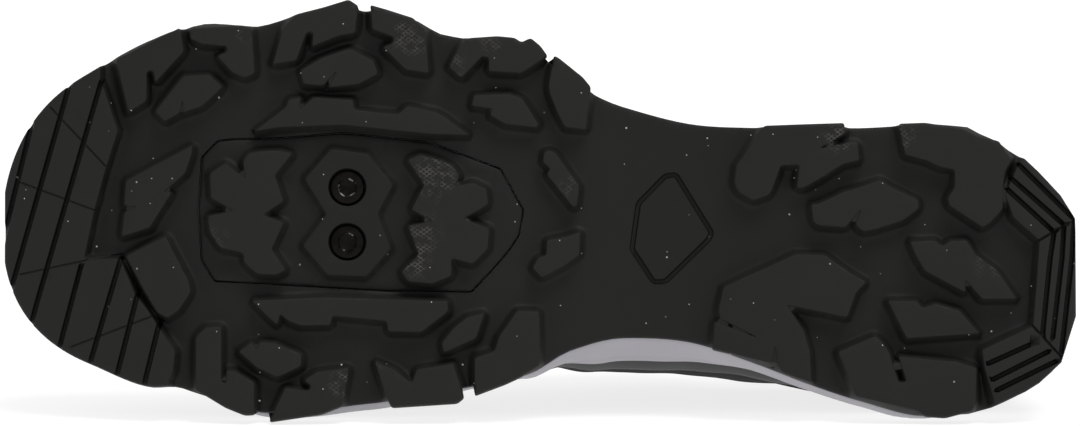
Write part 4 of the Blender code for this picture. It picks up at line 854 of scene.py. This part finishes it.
def upperRelief(share, up):
    # What stands proud of the last's plain form: overlays, flex creases, padded collar
    relief = panelShare(share, up) * upperLook["overlay"]
    for centre, depth, width in upperLook["flexes"]:
        far = share - (centre + 0.05 * (1 - up) + 0.006 * np.sin(9 * up))
        fold = np.exp(-(far / width) ** 2) - 0.5 * np.exp(-((far - 0.018) / width) ** 2)
        relief = relief - upperLook["crease"] * depth * fold * smooth(up, 0.35, 0.7)
    for centre, rising, depth in upperLook["folds"]:
        far = np.hypot((share - centre) / 0.05, (up - rising - 1.5 * (share - centre)) / 0.035)
        relief = relief - upperLook["crease"] * depth * np.exp(-far ** 2)
    collar = smooth(share, upperLook["collarStart"], upperLook["collarStart"] + 0.04)
    above = up - upperLook["collarUp"]
    swell = np.sin(np.pi * within(above / (0.985 - upperLook["collarUp"]))) ** 0.7
    seamDip = np.exp(-(above / 0.008) ** 2)
    return relief + collar * (swell * upperLook["collarSwell"] - seamDip * upperLook["collarSeam"])


def surface(side, share, up):
    return skin(side, share, up) + skinNormal(side, share, up) * upperRelief(share, up)[..., None]


def weave(add, vector, pitch, depth, strength):
    # Two crossed sets of threads a pitch apart, as relief; a wave's bands stand pi / 10 apart
    threads = [add("TexWave", {"bands_direction": direction, "Scale": math.pi / 10 / pitch,
                               "Distortion": 0.6, "Detail": 1.0, "Vector": vector}, "Fac")
               for direction in ("X", "Y")]
    crossed = add("Math", multiply | {0: threads[0], 1: threads[1]})
    return crossed, add("Bump", {"Strength": strength, "Distance": depth, "Height": crossed})


def coatedUpper():
    # Polyester ripstop cloth with overlays of smooth polyurethane synthetic leather, both dyed
    # black: the cloth is dull with a fine thread relief, the overlays have a faint grained sheen
    look = {"cloth": "#1a1a1c", "leather": "#131314", "thread": 0.55 * mm, "grain": 0.8 * mm}
    material, add = newMaterial("blackRipstopAndSynthetic")
    panel = add("Attribute", {"attribute_name": "panel"}, "Fac")
    threads, clothBump = weave(add, add("UVMap", {"uv_map": "plan"}), look["thread"], 0.12 * mm, 0.5)
    grain = add("TexVoronoi", {"Scale": 1 / look["grain"], "Vector": add("TexCoord", {}, "Object")})
    leatherBump = add("Bump", {"Strength": 0.25, "Distance": 0.08 * mm, "Height": grain})
    normal = add("Mix", {"data_type": "VECTOR", 0: panel, 4: clothBump, 5: leatherBump}, 1)
    shade = add("MapRange", {"To Min": 0.8, "To Max": 1.15, "Value": threads})
    cloth = add("Mix", blend | {"blend_type": "MULTIPLY", 0: 1.0, 6: look["cloth"], 7: shade}, 2)
    colour = add("Mix", blend | {0: panel, 6: cloth, 7: look["leather"]}, 2)
    rough = add("MapRange", {"To Min": 0.82, "To Max": 0.44, "Value": panel})
    return finished(material, {"IOR": 1.46, "Specular IOR Level": 0.18, "Normal": normal,
                               "Base Color": colour, "Roughness": rough})


def plainCloth(name, colour, pitch, depth, roughness, sheen, turn=0.0):
    # Woven polyester: dull, with a soft sheen on the thread crowns
    material, add = newMaterial(name)
    plan = add("UVMap", {"uv_map": "plan"})
    turned = add("Mapping", {"Rotation": (0, 0, turn), "Vector": plan})
    threads, bump = weave(add, turned, pitch, depth, 0.7)
    shade = add("MapRange", {"To Min": 0.7, "To Max": 1.2, "Value": threads})
    dyed = add("Mix", blend | {"blend_type": "MULTIPLY", 0: 1.0, 6: colour, 7: shade}, 2)
    return finished(material, {"Roughness": roughness, "IOR": 1.46, "Specular IOR Level": 0.25,
                               "Sheen Weight": sheen, "Sheen Roughness": 0.4, "Normal": bump,
                               "Base Color": dyed})


upperSkin = coatedUpper()
lining = plainCloth("blackSpacerMeshLining", "#232325", 1.1 * mm, 0.25 * mm, 0.9, 0.15)
tongueCloth = plainCloth("blackAirMeshCloth", "#1b1b1d", 0.9 * mm, 0.22 * mm, 0.85, 0.12)
laceCloth = plainCloth("blackBraidedPolyesterLace", "#1c1c1e", 0.7 * mm, 0.2 * mm, 0.8, 0.2,
                       turn=math.pi / 4)
threadCloth = plainCloth("blackSewingThread", "#26262a", 0.3 * mm, 0.05 * mm, 0.6, 0.1)


class Shell:
    # Gathers grids of points, their faces and their values for one mesh
    def __init__(self):
        self.points, self.faces, self.slots, self.plan, self.panel, self.count = [], [], [], [], [], 0

    def grid(self, points, plan=None, panel=0.0):
        flat = points.reshape(-1, 3)
        index = np.arange(len(flat)).reshape(points.shape[:-1]) + self.count
        self.points.append(flat)
        self.plan.append(flat[:, :2] if plan is None else plan.reshape(-1, 2))
        self.panel.append(np.broadcast_to(panel, points.shape[:-1]).reshape(-1))
        self.count += len(flat)
        return index

    def faced(self, index, flip=False, slot=0):
        # Four-cornered faces between the last two directions of a grid's numbers
        corners = [index[..., :-1, :-1], index[..., 1:, :-1], index[..., 1:, 1:], index[..., :-1, 1:]]
        made = np.stack(corners, -1).reshape(-1, 4)
        self.faces.append(made[:, ::-1] if flip else made)
        self.slots += [slot] * len(made)

    def piece(self, name, materials, sharp=38, merge=True):
        points, faces = np.concatenate(self.points), np.concatenate(self.faces)
        plan, panel = np.concatenate(self.plan), np.concatenate(self.panel)
        if merge:
            # Points that fall on each other become one
            keys = np.round(points / (0.002 * mm)).astype(np.int64)
            _, first, inverse = np.unique(keys, axis=0, return_index=True, return_inverse=True)
            faces = inverse.reshape(-1)[faces]
            points, panel, plan = points[first], panel[first], plan[first]
        kept, slots = [], []
        for face, slot in zip(faces.tolist(), self.slots):
            corners = list(dict.fromkeys(face))
            if len(corners) > 2:
                kept.append(corners)
                slots.append(slot)
        return makePiece(name, points, kept, materials, slots, plan, {"panel": panel}, sharp)


def buildUpper():
    look = upperLook
    # More places where the throat opens
    shares = np.unique(np.concatenate([np.linspace(0, 1, look["shares"]), [0.42, 0.4212, 0.4225, 0.425]]))
    share, up = np.meshgrid(shares, np.linspace(0, 1, look["ups"]), indexing="ij")
    innerShare, innerUp = np.meshgrid(shares, np.linspace(0, 1, look["innerUps"]), indexing="ij")
    opened = shares > shoe["throatStart"] + 1e-9
    pad = smooth(innerShare, look["collarStart"], look["collarStart"] + 0.05)
    pad = pad * np.sin(np.pi * within((innerUp - 0.62) / 0.38)) ** 0.8 * look["collarPad"]
    thickness = (shoe["wall"] + pad)[..., None]
    shell = Shell()
    for side in sides:
        outer = surface(side, share, up)
        inner = skin(side, innerShare, innerUp) - skinNormal(side, innerShare, innerUp) * thickness
        size = np.array([look["planLength"], look["planHeight"] * side])
        outerIndex = shell.grid(outer, np.stack([share, up], -1) * size, panelShare(share, up))
        innerIndex = shell.grid(inner, np.stack([innerShare, innerUp], -1) * size)
        shell.faced(outerIndex, side > 0)
        shell.faced(innerIndex, side < 0, 1)
        # Bottom edge, then the rounded top edge along throat and collar
        shell.faced(np.stack([innerIndex[:, 0], outerIndex[:, 0]], 1), side > 0)
        openOuter, openInner = outer[opened][:, -1], inner[opened][:, -1]
        rising = unit(openOuter - outer[opened][:, -3]) * span(openOuter - openInner)[:, None] / 2
        middle, half = (openOuter + openInner) / 2, (openOuter - openInner) / 2
        turns = np.linspace(0, math.pi, 8)[1:-1]
        rings = [middle + half * math.cos(turn) + rising * math.sin(turn) for turn in turns]
        edge = np.stack([openOuter, *rings, openInner], 1)
        shell.faced(shell.grid(edge, edge[..., :2], 1.0), side > 0)
    return shell.piece("upper_shell", [upperSkin, lining], sharp=60)


eyelet = {"places": (0.445, 0.486, 0.527, 0.568, 0.609), "up": 0.84, "wide": 7.8 * mm, "hole": 4.2 * mm,
          "high": 1.0 * mm, "barrel": 0.35 * mm, "sunk": 0.7, "steps": 32}


def eyeletSeat(side, share):
    # Where an eyelet lies on its overlay, and its axes: its rim is pressed into the face's curve
    spot, normal = surface(side, share, eyelet["up"]), skinNormal(side, share, eyelet["up"])
    near = surface(side, share + np.linspace(-0.014, 0.014, 9)[:, None],
                   eyelet["up"] + np.linspace(-0.06, 0.06, 9)) - spot
    proud = near @ normal
    under = span(near - proud[..., None] * normal) < eyelet["wide"] / 2
    across = unit(np.cross(normal, (1.0, 0.0, 0.0)))
    axes = np.stack([np.cross(across, normal), across, normal], 1)
    return axes, spot + normal * proud[under].max() * eyelet["sunk"]


seats = {(side, share): eyeletSeat(side, share) for side in sides for share in eyelet["places"]}


def revolved(shell, profile, steps, axes, spot):
    # A ring swept round the third axis from a closed profile of radius and height
    turns = np.linspace(0, 2 * math.pi, steps + 1)[:, None]
    radius, height = np.array(profile, float).T
    ring = np.broadcast_arrays(np.cos(turns) * radius, np.sin(turns) * radius, height)
    shell.faced(shell.grid(np.stack(ring, -1) @ axes.T + spot), True)


def drillHoles(piece, below=6 * mm, above=4 * mm):
    # Round holes for the eyelets' barrels, cut through the wall with a Boolean
    shell = Shell()
    radius = eyelet["hole"] / 2 + eyelet["barrel"]
    for axes, spot in seats.values():
        revolved(shell, [(0, -below), (radius, -below), (radius, above), (0, above)], 24, axes, spot)
    drill = shell.piece("eyelet_drill", [])
    cut = piece.modifiers.new("eyeletHoles", "BOOLEAN")
    cut.operation, cut.solver, cut.object = "DIFFERENCE", "EXACT", drill
    bpy.context.view_layer.update()
    holed = bpy.data.meshes.new_from_object(piece.evaluated_get(bpy.context.evaluated_depsgraph_get()))
    piece.modifiers.clear()
    piece.data = holed
    bpy.data.objects.remove(drill)


upper = buildUpper()
drillHoles(upper)
fitIn(upper, "upper", 0.1 * mm)

stitch = {"length": 1.9 * mm, "pitch": 2.7 * mm, "radius": 0.2 * mm, "over": 0.02 * mm,
          "under": -0.25 * mm, "insets": (0.006, 0.013), "upPerAlong": 3.2, "steps": 240}


def stitchRow(side, shares, ups):
    # Small stitches along a line on the upper, each a row of rings that dips under at both ends
    run = runAlong(surface(side, shares, ups))
    starts = np.arange(stitch["pitch"], run[-1] - stitch["pitch"], stitch["pitch"])
    spots = starts[:, None] + np.array([0.0, 0.25, 0.75, 1.0]) * stitch["length"]
    share, up = np.interp(spots, run, shares), np.interp(spots, run, ups)
    centre, normal = surface(side, share, up), skinNormal(side, share, up)
    across = np.cross(normal, unit(centre[:, -1:] - centre[:, :1]))
    heights = np.array([stitch["under"], stitch["over"], stitch["over"], stitch["under"]])
    centre = (centre + normal * heights[:, None])[:, :, None]
    turns = np.linspace(0, 2 * math.pi, 7)[:, None]
    ring = np.cos(turns) * across[:, :, None] + np.sin(turns) * normal[:, :, None]
    return centre + stitch["radius"] * ring


def buildStitches():
    shell = Shell()
    steps = np.linspace(0, 1, stitch["steps"])
    front, back = upperLook["stayFront"], upperLook["stayBack"]
    for side in sides:
        for inset in stitch["insets"]:
            lower = inset * stitch["upPerAlong"]
            capUps = 0.30 + steps * 0.70
            randShares = 0.24 + steps * (0.54 if side > 0 else 0.12)
            counterShares = 0.835 + steps * 0.165
            # Toe cap, rand, heel counter and eyelet stay in double rows, the others in single ones
            rows = [(upperLook["capEnd"] - upperLook["capSlant"] * capUps - inset, capUps),
                    (randShares, readChart(randTop, "up", randShares) - inset * 3.4),
                    (counterShares, readChart(counterTop, "up", counterShares) - lower),
                    (front + inset + steps * (back - front - 2 * inset), upperLook["stayUp"] + lower)]
            if inset == stitch["insets"][0]:
                rows += [(front + inset, 0.73 + steps * 0.27), (back - inset, 0.73 + steps * 0.25),
                         (0.71 + steps * 0.29, upperLook["collarUp"]), (0.43 + steps * 0.24, 0.968)]
            for row in rows:
                shell.faced(shell.grid(stitchRow(side, *np.broadcast_arrays(*row, steps)[:2])))
    return shell.piece("upper_stitches", [threadCloth], sharp=80, merge=False)


fitIn(buildStitches(), floorGap=0.0)

# The midsole's wall by shares of its height, and the foam's grain and soil
foam = {"levels": 15, "swellPower": 1.3, "belly": 0.010, "line": 0.7 * mm, "lineAt": 0.74,
        "lineHalf": 0.045, "edge": 0.9 * mm, "edgeShare": 0.08, "cell": 0.7 * mm, "soil": 14 * mm}


def mouldedFoam():
    # Compression-moulded EVA foam: matte, pale grey, with a fine closed-cell skin
    material, add = newMaterial("mouldedEvaFoam")
    solid = add("TexCoord", {}, "Object")
    cell = add("TexNoise", {"Scale": 1 / foam["cell"], "Detail": 3.0, "Vector": solid})
    bump = add("Bump", {"Strength": 0.25, "Distance": 0.05 * mm, "Height": cell})
    soil = add("TexNoise", {"Scale": 1 / foam["soil"], "Detail": 5.0, "Vector": solid})
    tone = add("Mix", blend | {0: soil, 6: "#a5a3a9", 7: "#98969b"}, 2)
    return finished(material, {"Roughness": 0.62, "IOR": 1.48, "Specular IOR Level": 0.3,
                               "Subsurface Weight": 0.05, "Subsurface Scale": 0.002,
                               "Normal": bump, "Base Color": tone})


def buildMidsole():
    places = np.concatenate([heelCorners["along"], np.linspace(0, 0.83, 120), toeShares(50)])
    places = np.unique(np.round(np.minimum(places, shoe["toeEnd"]), 6))
    shell, border = Shell(), {}
    for side in sides:
        proud = smooth(flare(places, side), -1.2 * mm, 0.4 * mm)
        rings = []
        for level in np.linspace(0, 1, foam["levels"]):
            # Belly, a drawn-in line near the top and rounded edges
            belly = math.sin(math.pi * level) * foam["belly"] * shoe["ballWidth"]
            line = foam["line"] * math.exp(-((level - foam["lineAt"]) / foam["lineHalf"]) ** 2)
            outside = max(0, 1 - level / foam["edgeShare"], 1 - (1 - level) / foam["edgeShare"])
            plan = edgePoint(places, side)
            plan[:, 1] += side * (flare(places, side) * level ** foam["swellPower"] + belly * proud
                                  - line - foam["edge"] * outside ** 2)
            z = midsoleLow(places) * (1 - level) + feather(places) * level
            rings.append(np.column_stack([plan, z]))
        border[side] = shell.grid(np.stack(rings, 1))
        shell.faced(border[side], side < 0)
    # Toe and heel ends, then underside and top
    for end, flip in ((0, True), (-1, False)):
        shell.faced(np.stack([border[1][end], border[-1][end]]), flip)
    for level, flip in ((0, True), (-1, False)):
        shell.faced(np.stack([border[1][:, level], border[-1][:, level]], 1), flip)
    return shell.piece("midsole_foam_wedge", [mouldedFoam()], sharp=50)


fitIn(buildMidsole(), "midsole", 0.1 * mm)


def buildInsole():
    look = {"edge": 1.0 * mm, "dish": 0.8 * mm, "clearance": 1.6 * mm}
    shares, across = np.linspace(0.004, 0.996, 120), np.linspace(0, 1, 25)
    inset = shoe["featherInset"] + shoe["wall"] + look["clearance"]
    lateral, medial = (footEdge(side, shares, inset)[:, None] for side in sides)
    bed = lateral * (1 - across)[:, None] + medial * across[:, None]
    rim = np.minimum(np.sin(np.pi * across) * 4, 1)
    top = bed.copy()
    top[..., 2] += shoe["insole"] - look["edge"] * (1 - rim) ** 2 - look["dish"] * np.sin(np.pi * across) ** 2
    shell = Shell()
    upside, underside = shell.grid(top), shell.grid(bed)
    shell.faced(upside, True)
    shell.faced(underside)
    for edge in (0, -1):
        shell.faced(np.stack([underside[:, edge], upside[:, edge]], 1), edge == 0)
        shell.faced(np.stack([underside[edge], upside[edge]]), edge != 0)
    return shell.piece("insole_bed", [lining], sharp=50)


fitIn(buildInsole(), "insole")
print("upper, midsole and insole are made")


def blackCoatedMetal():
    # Brass eyelet under baked black paint: dark with soft glints, metal where the paint is worn
    material, add = newMaterial("blackPaintedBrass")
    wear = add("TexNoise", {"Scale": 1 / (1.8 * mm), "Detail": 4.0, "Vector": add("TexCoord", {}, "Object")})
    worn = add("MapRange", {"From Min": 0.62, "From Max": 0.72, "Value": wear})
    tone = add("Mix", blend | {0: worn, 6: "#1a1a1b", 7: "#4a4640"}, 2)
    rough = add("MapRange", {"To Min": 0.32, "To Max": 0.5, "Value": wear})
    return finished(material, {"Metallic": 0.6, "Base Color": tone, "Roughness": rough})


def buildEyelets():
    # Rolled flange outside, barrel through the wall, set flange inside; each ring its own piece
    material = blackCoatedMetal()
    hole, wide, high = eyelet["hole"] / 2, eyelet["wide"] / 2, eyelet["high"]
    through = shoe["wall"] + upperLook["overlay"]
    profile = [(hole, -through - 0.1 * mm), (hole, 0.45 * high), (hole + 0.12 * mm, 0.8 * high),
               (hole + 0.4 * mm, high), (hole + 0.8 * mm, 0.98 * high), (wide - 0.5 * mm, 0.66 * high),
               (wide - 0.12 * mm, 0.3 * high), (wide, -0.05 * mm), (wide - 0.1 * mm, -0.2 * mm),
               (hole + eyelet["barrel"], -0.2 * mm), (hole + eyelet["barrel"], -through),
               (wide - 0.7 * mm, -through), (wide - 0.55 * mm, -through - 0.2 * mm),
               (wide - 0.8 * mm, -through - 0.45 * mm), (hole + 0.2 * mm, -through - 0.4 * mm),
               (hole, -through - 0.1 * mm)]
    for (side, share), seat in seats.items():
        name = f"{sides[side]}_{eyelet['places'].index(share) + 1}"
        shell = Shell()
        revolved(shell, profile, eyelet["steps"], *seat)
        fitIn(shell.piece("eyelet_ring_" + name, [material], sharp=50), "eyelet_" + name)


buildEyelets()
tongueLook = {"thick": 4.5 * mm, "clearance": 1.2 * mm, "tail": 22 * mm, "crown": 0.10, "edge": 3.4 * mm,
              "channel": 0.6 * mm, "channelIn": 4.6 * mm, "channelHalf": 0.7 * mm, "places": (0.405, 0.63),
              "lowUp": 0.76, "edgeAt": 0.55, "rows": 70, "columns": 61, "tailRows": 26}


def tonguePoint(share, across, depth):
    # A face of the tongue in the throat: across runs from 1 at the lateral side to -1
    share, across = np.broadcast_arrays(np.asarray(share, float), np.asarray(across, float))
    edge, low = tongueLook["edgeAt"], tongueLook["lowUp"]
    up = low + (1 - low) * within((1 - np.abs(across)) / (1 - edge))
    lateral, medial = (skin(side, share, up) - skinNormal(side, share, up) * depth for side in sides)
    part = within((edge - across) / (2 * edge))
    spot = lateral + (medial - lateral) * part[..., None]
    spot[..., 2] += span(lateral - medial) * tongueLook["crown"] * 4 * part * (1 - part)
    return spot


def buildTongue():
    # A pillow between the front under the vamp and the rounded tail above the throat
    look = tongueLook
    across = np.linspace(1, -1, look["columns"])
    depth = shoe["wall"] + look["clearance"] + look["thick"] / 2
    throat = tonguePoint(np.linspace(*look["places"], look["rows"])[:, None], across, depth)
    middle = throat[-1, look["columns"] // 2]
    way = unit(middle - throat[-2, look["columns"] // 2]) * look["tail"]
    tail = [middle + (throat[-1] - middle) * 0.97 * (1 - (0.985 * part) ** 4) ** 0.3 + way * part
            for part in np.sin(np.linspace(0.05, math.pi / 2, look["tailRows"]))]
    sheet = np.concatenate([throat, tail])
    for _ in range(6):
        sheet[:, 1:-1] = sheet[:, 1:-1] * 0.5 + (sheet[:, 2:] + sheet[:, :-2]) * 0.25
    alongStep, acrossStep = np.gradient(sheet, axis=0), np.gradient(sheet, axis=1)
    normal = unit(np.cross(acrossStep, alongStep))
    normal *= np.sign(normal[30, 30, 2])
    # Distance from the nearest edge, which thins the padding to its bound rim
    rowRun, lineRun = np.cumsum(span(acrossStep), axis=1), np.cumsum(span(alongStep), axis=0)
    near = np.minimum(np.minimum(rowRun - rowRun[:, :1], rowRun[:, -1:] - rowRun),
                      np.minimum(lineRun - lineRun[:1], lineRun[-1:] - lineRun))
    half = look["thick"] / 2 * roundedEdge(near / look["edge"])
    channels = np.exp(-((near - look["channelIn"]) / look["channelHalf"]) ** 2)
    for place in (0.26, -0.26):
        sewn = np.exp(-((across - place) / 0.03) ** 2) * (near > look["channelIn"])
        channels = np.maximum(channels, sewn)
    channels *= look["channel"]
    plan = np.stack([lineRun, rowRun], -1)
    shell = Shell()
    shell.faced(shell.grid(sheet + normal * (half - channels)[..., None], plan))
    shell.faced(shell.grid(sheet - normal * (half - channels * 0.5)[..., None], plan), True, 1)
    return shell.piece("padded_tongue", [tongueCloth, lining], sharp=80)


tongue = buildTongue()
fitIn(tongue, "tongue")

laceLook = {"wide": 4.2 * mm, "thick": 1.6 * mm, "steps": 7, "sides": 14, "lift": 0.2 * mm, "round": 0.8,
            "below": 1.2 * mm}
upright = np.array([0.0, 0.0, 1.0])


def over(side, share, up):
    # Middle of the lace where it lies on the upper, and the way its flat side faces
    normal = skinNormal(side, share, up)
    return surface(side, share, up) + normal * (laceLook["thick"] / 2 + laceLook["lift"]), normal


def underEyelet(side, share):
    # Where the lace ends or starts on the upper's inside
    axes, spot = seats[side, share]
    return spot - axes[:, 2] * (shoe["wall"] + upperLook["overlay"] + laceLook["below"])


def intoEyelet(side, share, arriving):
    # From the throat's edge over the ring and down through the eyelet
    axes, spot = seats[side, share]
    normal = axes[:, 2]
    face, faceNormal = over(side, arriving[1], 0.93)
    back = unit(face - spot)
    return [over(side, arriving[0], 0.985), (face + faceNormal * laceLook["lift"], faceNormal),
            (spot + back * 2.3 * mm + normal * 1.95 * mm, normal - back * 0.3),
            (spot + back * 0.9 * mm + normal * 1.1 * mm, normal * 0.6 - back * 0.8),
            (spot - normal * 0.8 * mm, -back), (underEyelet(side, share), -back)]


def strand(shell, route, widths):
    # A flat braided strand along a smooth curve through the route's points
    points, hints = (np.array([stop[i] for stop in route]) for i in (0, 1))
    hints, widths = unit(hints), np.array(widths)[:, None]
    line, facing, wide = [], [], []
    for i, (start, end) in enumerate(zip(points, points[1:])):
        before, after = points[max(0, i - 1)], points[min(len(points) - 1, i + 2)]
        t = np.arange(laceLook["steps"])[:, None] / laceLook["steps"]
        a, b = end - before, 2 * before - 5 * start + 4 * end - after
        line.append(start + (a * t + b * t ** 2 + (3 * start - before - 3 * end + after) * t ** 3) / 2)
        facing.append(hints[i] * (1 - t) + hints[i + 1] * t)
        wide.append(widths[i] * (1 - t) + widths[i + 1] * t)
    line = np.concatenate(line + [points[-1:]])
    wide = np.concatenate(wide + [widths[-1:]])
    along = unit(np.gradient(line, axis=0))
    flat = unit(np.cross(along, np.concatenate(facing + [hints[-1:]])))
    turns = np.linspace(0, 2 * math.pi, laceLook["sides"] + 1)
    x, y = (np.sign(way) * np.abs(way) ** laceLook["round"] * size / 2 for way, size in
            ((np.cos(turns), laceLook["wide"]), (np.sin(turns), laceLook["thick"])))
    # Tapered as the braid gathers in the eyelet, thicker where it is narrower
    rings = (line[:, None] + flat[:, None] * (x * wide)[..., None]
             + np.cross(flat, along)[:, None] * (y / np.sqrt(wide))[..., None])
    around = (turns / math.pi * laceLook["wide"])[None]
    plan = np.stack(np.broadcast_arrays(runAlong(line)[:, None], around), -1)
    shell.faced(shell.grid(rings, plan))


def buildLaces():
    shell = Shell()
    places = eyelet["places"]
    onTongue = shoe["wall"] + tongueLook["clearance"] - laceLook["thick"] / 2 - laceLook["lift"]
    gathered = [0.95, 0.85, 0.8, 0.8]
    # The bar lies over both edges and goes down through the first pair of eyelets
    lateral, medial = (intoEyelet(side, places[0], (places[0], places[0])) for side in sides)
    middle = ((lateral[0][0] + medial[0][0]) / 2 + upright * 0.6 * mm, lateral[0][1] + medial[0][1])
    strand(shell, lateral[::-1] + [middle] + medial, gathered[::-1] + [1] * 5 + gathered)
    for low, high in zip(places, places[1:]):
        def at(part):
            return low + (high - low) * part
        for side in sides:
            # Up from below one eyelet, out under the throat's edge, across and over the other edge
            under, underWay = skin(side, at(0.08), 0.95), skinNormal(side, at(0.08), 0.95)
            raised = upright * (laceLook["thick"] + laceLook["lift"]) * (side > 0)
            last = intoEyelet(-side, high, (at(0.84), at(0.94)))
            bed = tonguePoint(at(0.68), -side * 0.36, onTongue)
            route = [(underEyelet(side, low), seats[side, low][0][:, 2]),
                     (under - underWay * (shoe["wall"] + laceLook["thick"] / 2 + laceLook["lift"]), underWay),
                     (tonguePoint(at(0.24), side * 0.42, onTongue), underWay + upright),
                     (tonguePoint(at(0.47), 0.0, onTongue) + raised, upright),
                     (bed * 0.55 + last[0][0] * 0.45, upright + last[0][1])] + last
            strand(shell, route, [0.8, 0.95] + [1] * 5 + gathered)
    return shell.piece("braided_laces", [laceCloth], sharp=80, merge=False)


fitIn(buildLaces(), "laces")


def blackOxideSteel():
    # Socket head screws of black oxide steel: grey where tools and grit rubbed the socket's rim, a ring that
    # is also a painted glint, and dusty in the socket
    material, add = newMaterial("dustyBlackOxideSteel")
    dirt = add("TexNoise", {"Scale": 1 / (1.6 * mm), "Detail": 5.0, "Vector": add("TexCoord", {}, "Object")})
    tone = add("Mix", blend | {0: dirt, 6: "#100f0f", 7: "#262421"}, 2)
    rim = add("Attribute", {"attribute_name": "panel"}, "Fac")
    broken = add("MapRange", {"From Min": 0.5, "From Max": 0.6, "Value": dirt})
    # Painted glint and rubbed steel in one: the socket's rim ring turns pale where the dirt noise lets it
    bareSteelAndGlint = add("Math", multiply | {0: rim, 1: broken})
    worn = add("Mix", blend | {0: bareSteelAndGlint, 6: tone, 7: "#b9b4ab"}, 2)
    rough = add("MapRange", {"To Min": 0.3, "To Max": 0.62, "Value": dirt})
    scratch = add("Bump", {"Strength": 0.3, "Distance": 0.05 * mm, "Height": dirt})
    return finished(material, {"Metallic": 1.0, "Base Color": worn, "Roughness": rough, "Normal": scratch})


def buildScrews():
    material = blackOxideSteel()
    seat = bossFace + screw["recess"] - shoe["gap"]
    face, floor = seat - screw["height"], seat - screw["height"] + screw["socketDepth"]
    turns = np.linspace(0, 2 * math.pi, 49)
    outer, flatHalf = screw["head"] / 2, screw["socket"] / 2
    hexagon = flatHalf / np.cos((turns + math.pi / 6) % (math.pi / 3) - math.pi / 6)
    # Radius, height and how far each ring is rubbed to pale steel, which on the socket's rim is also a
    # painted glint
    rings = [(0, seat, 0), (outer - 0.1 * mm, seat, 0), (outer, seat - 0.15 * mm, 0),
             (outer, face + 0.5 * mm, 0), (outer - 0.15 * mm, face + 0.15 * mm, 0),
             (outer - 0.5 * mm, face, 0), (outer - 1.2 * mm, face, 0),
             (flatHalf * 1.25, face + 0.02 * mm, 0), (hexagon, face + 0.4 * mm, 1), (hexagon, floor, 0),
             (hexagon * 0.4, floor + 0.3 * mm, 0), (0, floor + 0.4 * mm, 0)]
    rubbed = np.array([ring[2] for ring in rings], float)[:, None]
    for side, word in sides.items():
        x, y = screwCentres[side]
        grid = np.stack([np.stack(np.broadcast_arrays(x + np.cos(turns) * radius, y + np.sin(turns) * radius,
                                                      height), -1) for radius, height, _ in rings])
        shell = Shell()
        shell.faced(shell.grid(grid, panel=rubbed), True)
        fitIn(shell.piece("socket_screw_" + word, [material], sharp=35), "cleat_screw_" + word)


buildScrews()
print("eyelets, tongue, laces and screws are made")

# Camera: the photograph looks at the tread 3 degrees towards its medial side, through a long lens
camera = {"lens": 250.0, "sensor": 36.0, "elevation": 5.5, "aimX": 0.0003, "aimZ": 0.0545, "nearer": 0.99}
cameraData = bpy.data.cameras.new("camera")
cameraData.lens, cameraData.sensor_width = camera["lens"], camera["sensor"]
cameraData.clip_start, cameraData.clip_end = 0.05, 60
viewer = bpy.data.objects.new("camera", cameraData)
distance = photo["width"] * photo["pixel"] * camera["lens"] / camera["sensor"] * camera["nearer"]
elevation = math.radians(camera["elevation"])
back = Vector((0, -math.cos(elevation), math.sin(elevation)))
viewer.location = Vector((camera["aimX"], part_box("outsole")[0].y, camera["aimZ"])) + back * distance

# Plain pale floor
floorLook = {"half": 30.0, "tone": "#9a9a9a", "glow": 0.8}
floorMaterial = finished(newMaterial("paintedStudioFloor")[0], {
    "Base Color": floorLook["tone"], "Roughness": 0.9, "Specular IOR Level": 0.0,
    "Emission Color": "#ffffff", "Emission Strength": floorLook["glow"]})
floorMesh = bpy.data.meshes.new("floor")
corners = [(x * floorLook["half"], y * floorLook["half"], 0) for x, y in ((-1, -1), (1, -1), (1, 1), (-1, 1))]
floorMesh.from_pydata(corners, [], [(0, 1, 2, 3)])
floorMesh.materials.append(floorMaterial)
floor = bpy.data.objects.new("floor", floorMesh)

# Soft studio light: a pale room and a wide key light from above
lights = {"room": 0.56, "key": 1.75, "keyElevation": 66, "keyAzimuth": 40, "keySoftness": 35}
world = bpy.data.worlds.new("studio")
bpy.context.scene.world = world
world.use_nodes = True
setUp(world.node_tree.nodes["Background"], {"Color": "#ffffff", "Strength": lights["room"]})
keyData = bpy.data.lights.new("key", "SUN")
keyData.energy, keyData.angle = lights["key"], math.radians(lights["keySoftness"])
key = bpy.data.objects.new("key", keyData)
keyTurn, keyRise = math.radians(lights["keyAzimuth"]), math.radians(lights["keyElevation"])
keyWay = Vector((math.sin(keyTurn) * math.cos(keyRise), -math.cos(keyTurn) * math.cos(keyRise),
                 math.sin(keyRise)))
for thing, facing in ((viewer, back), (key, keyWay), (floor, None)):
    bpy.context.scene.collection.objects.link(thing)
    if facing:
        thing.rotation_mode = "QUATERNION"
        thing.rotation_quaternion = facing.to_track_quat("Z", "Y")
bpy.context.scene.camera = viewer
bpy.context.scene.view_settings.view_transform = "Standard"
print("camera, floor and lights are set")
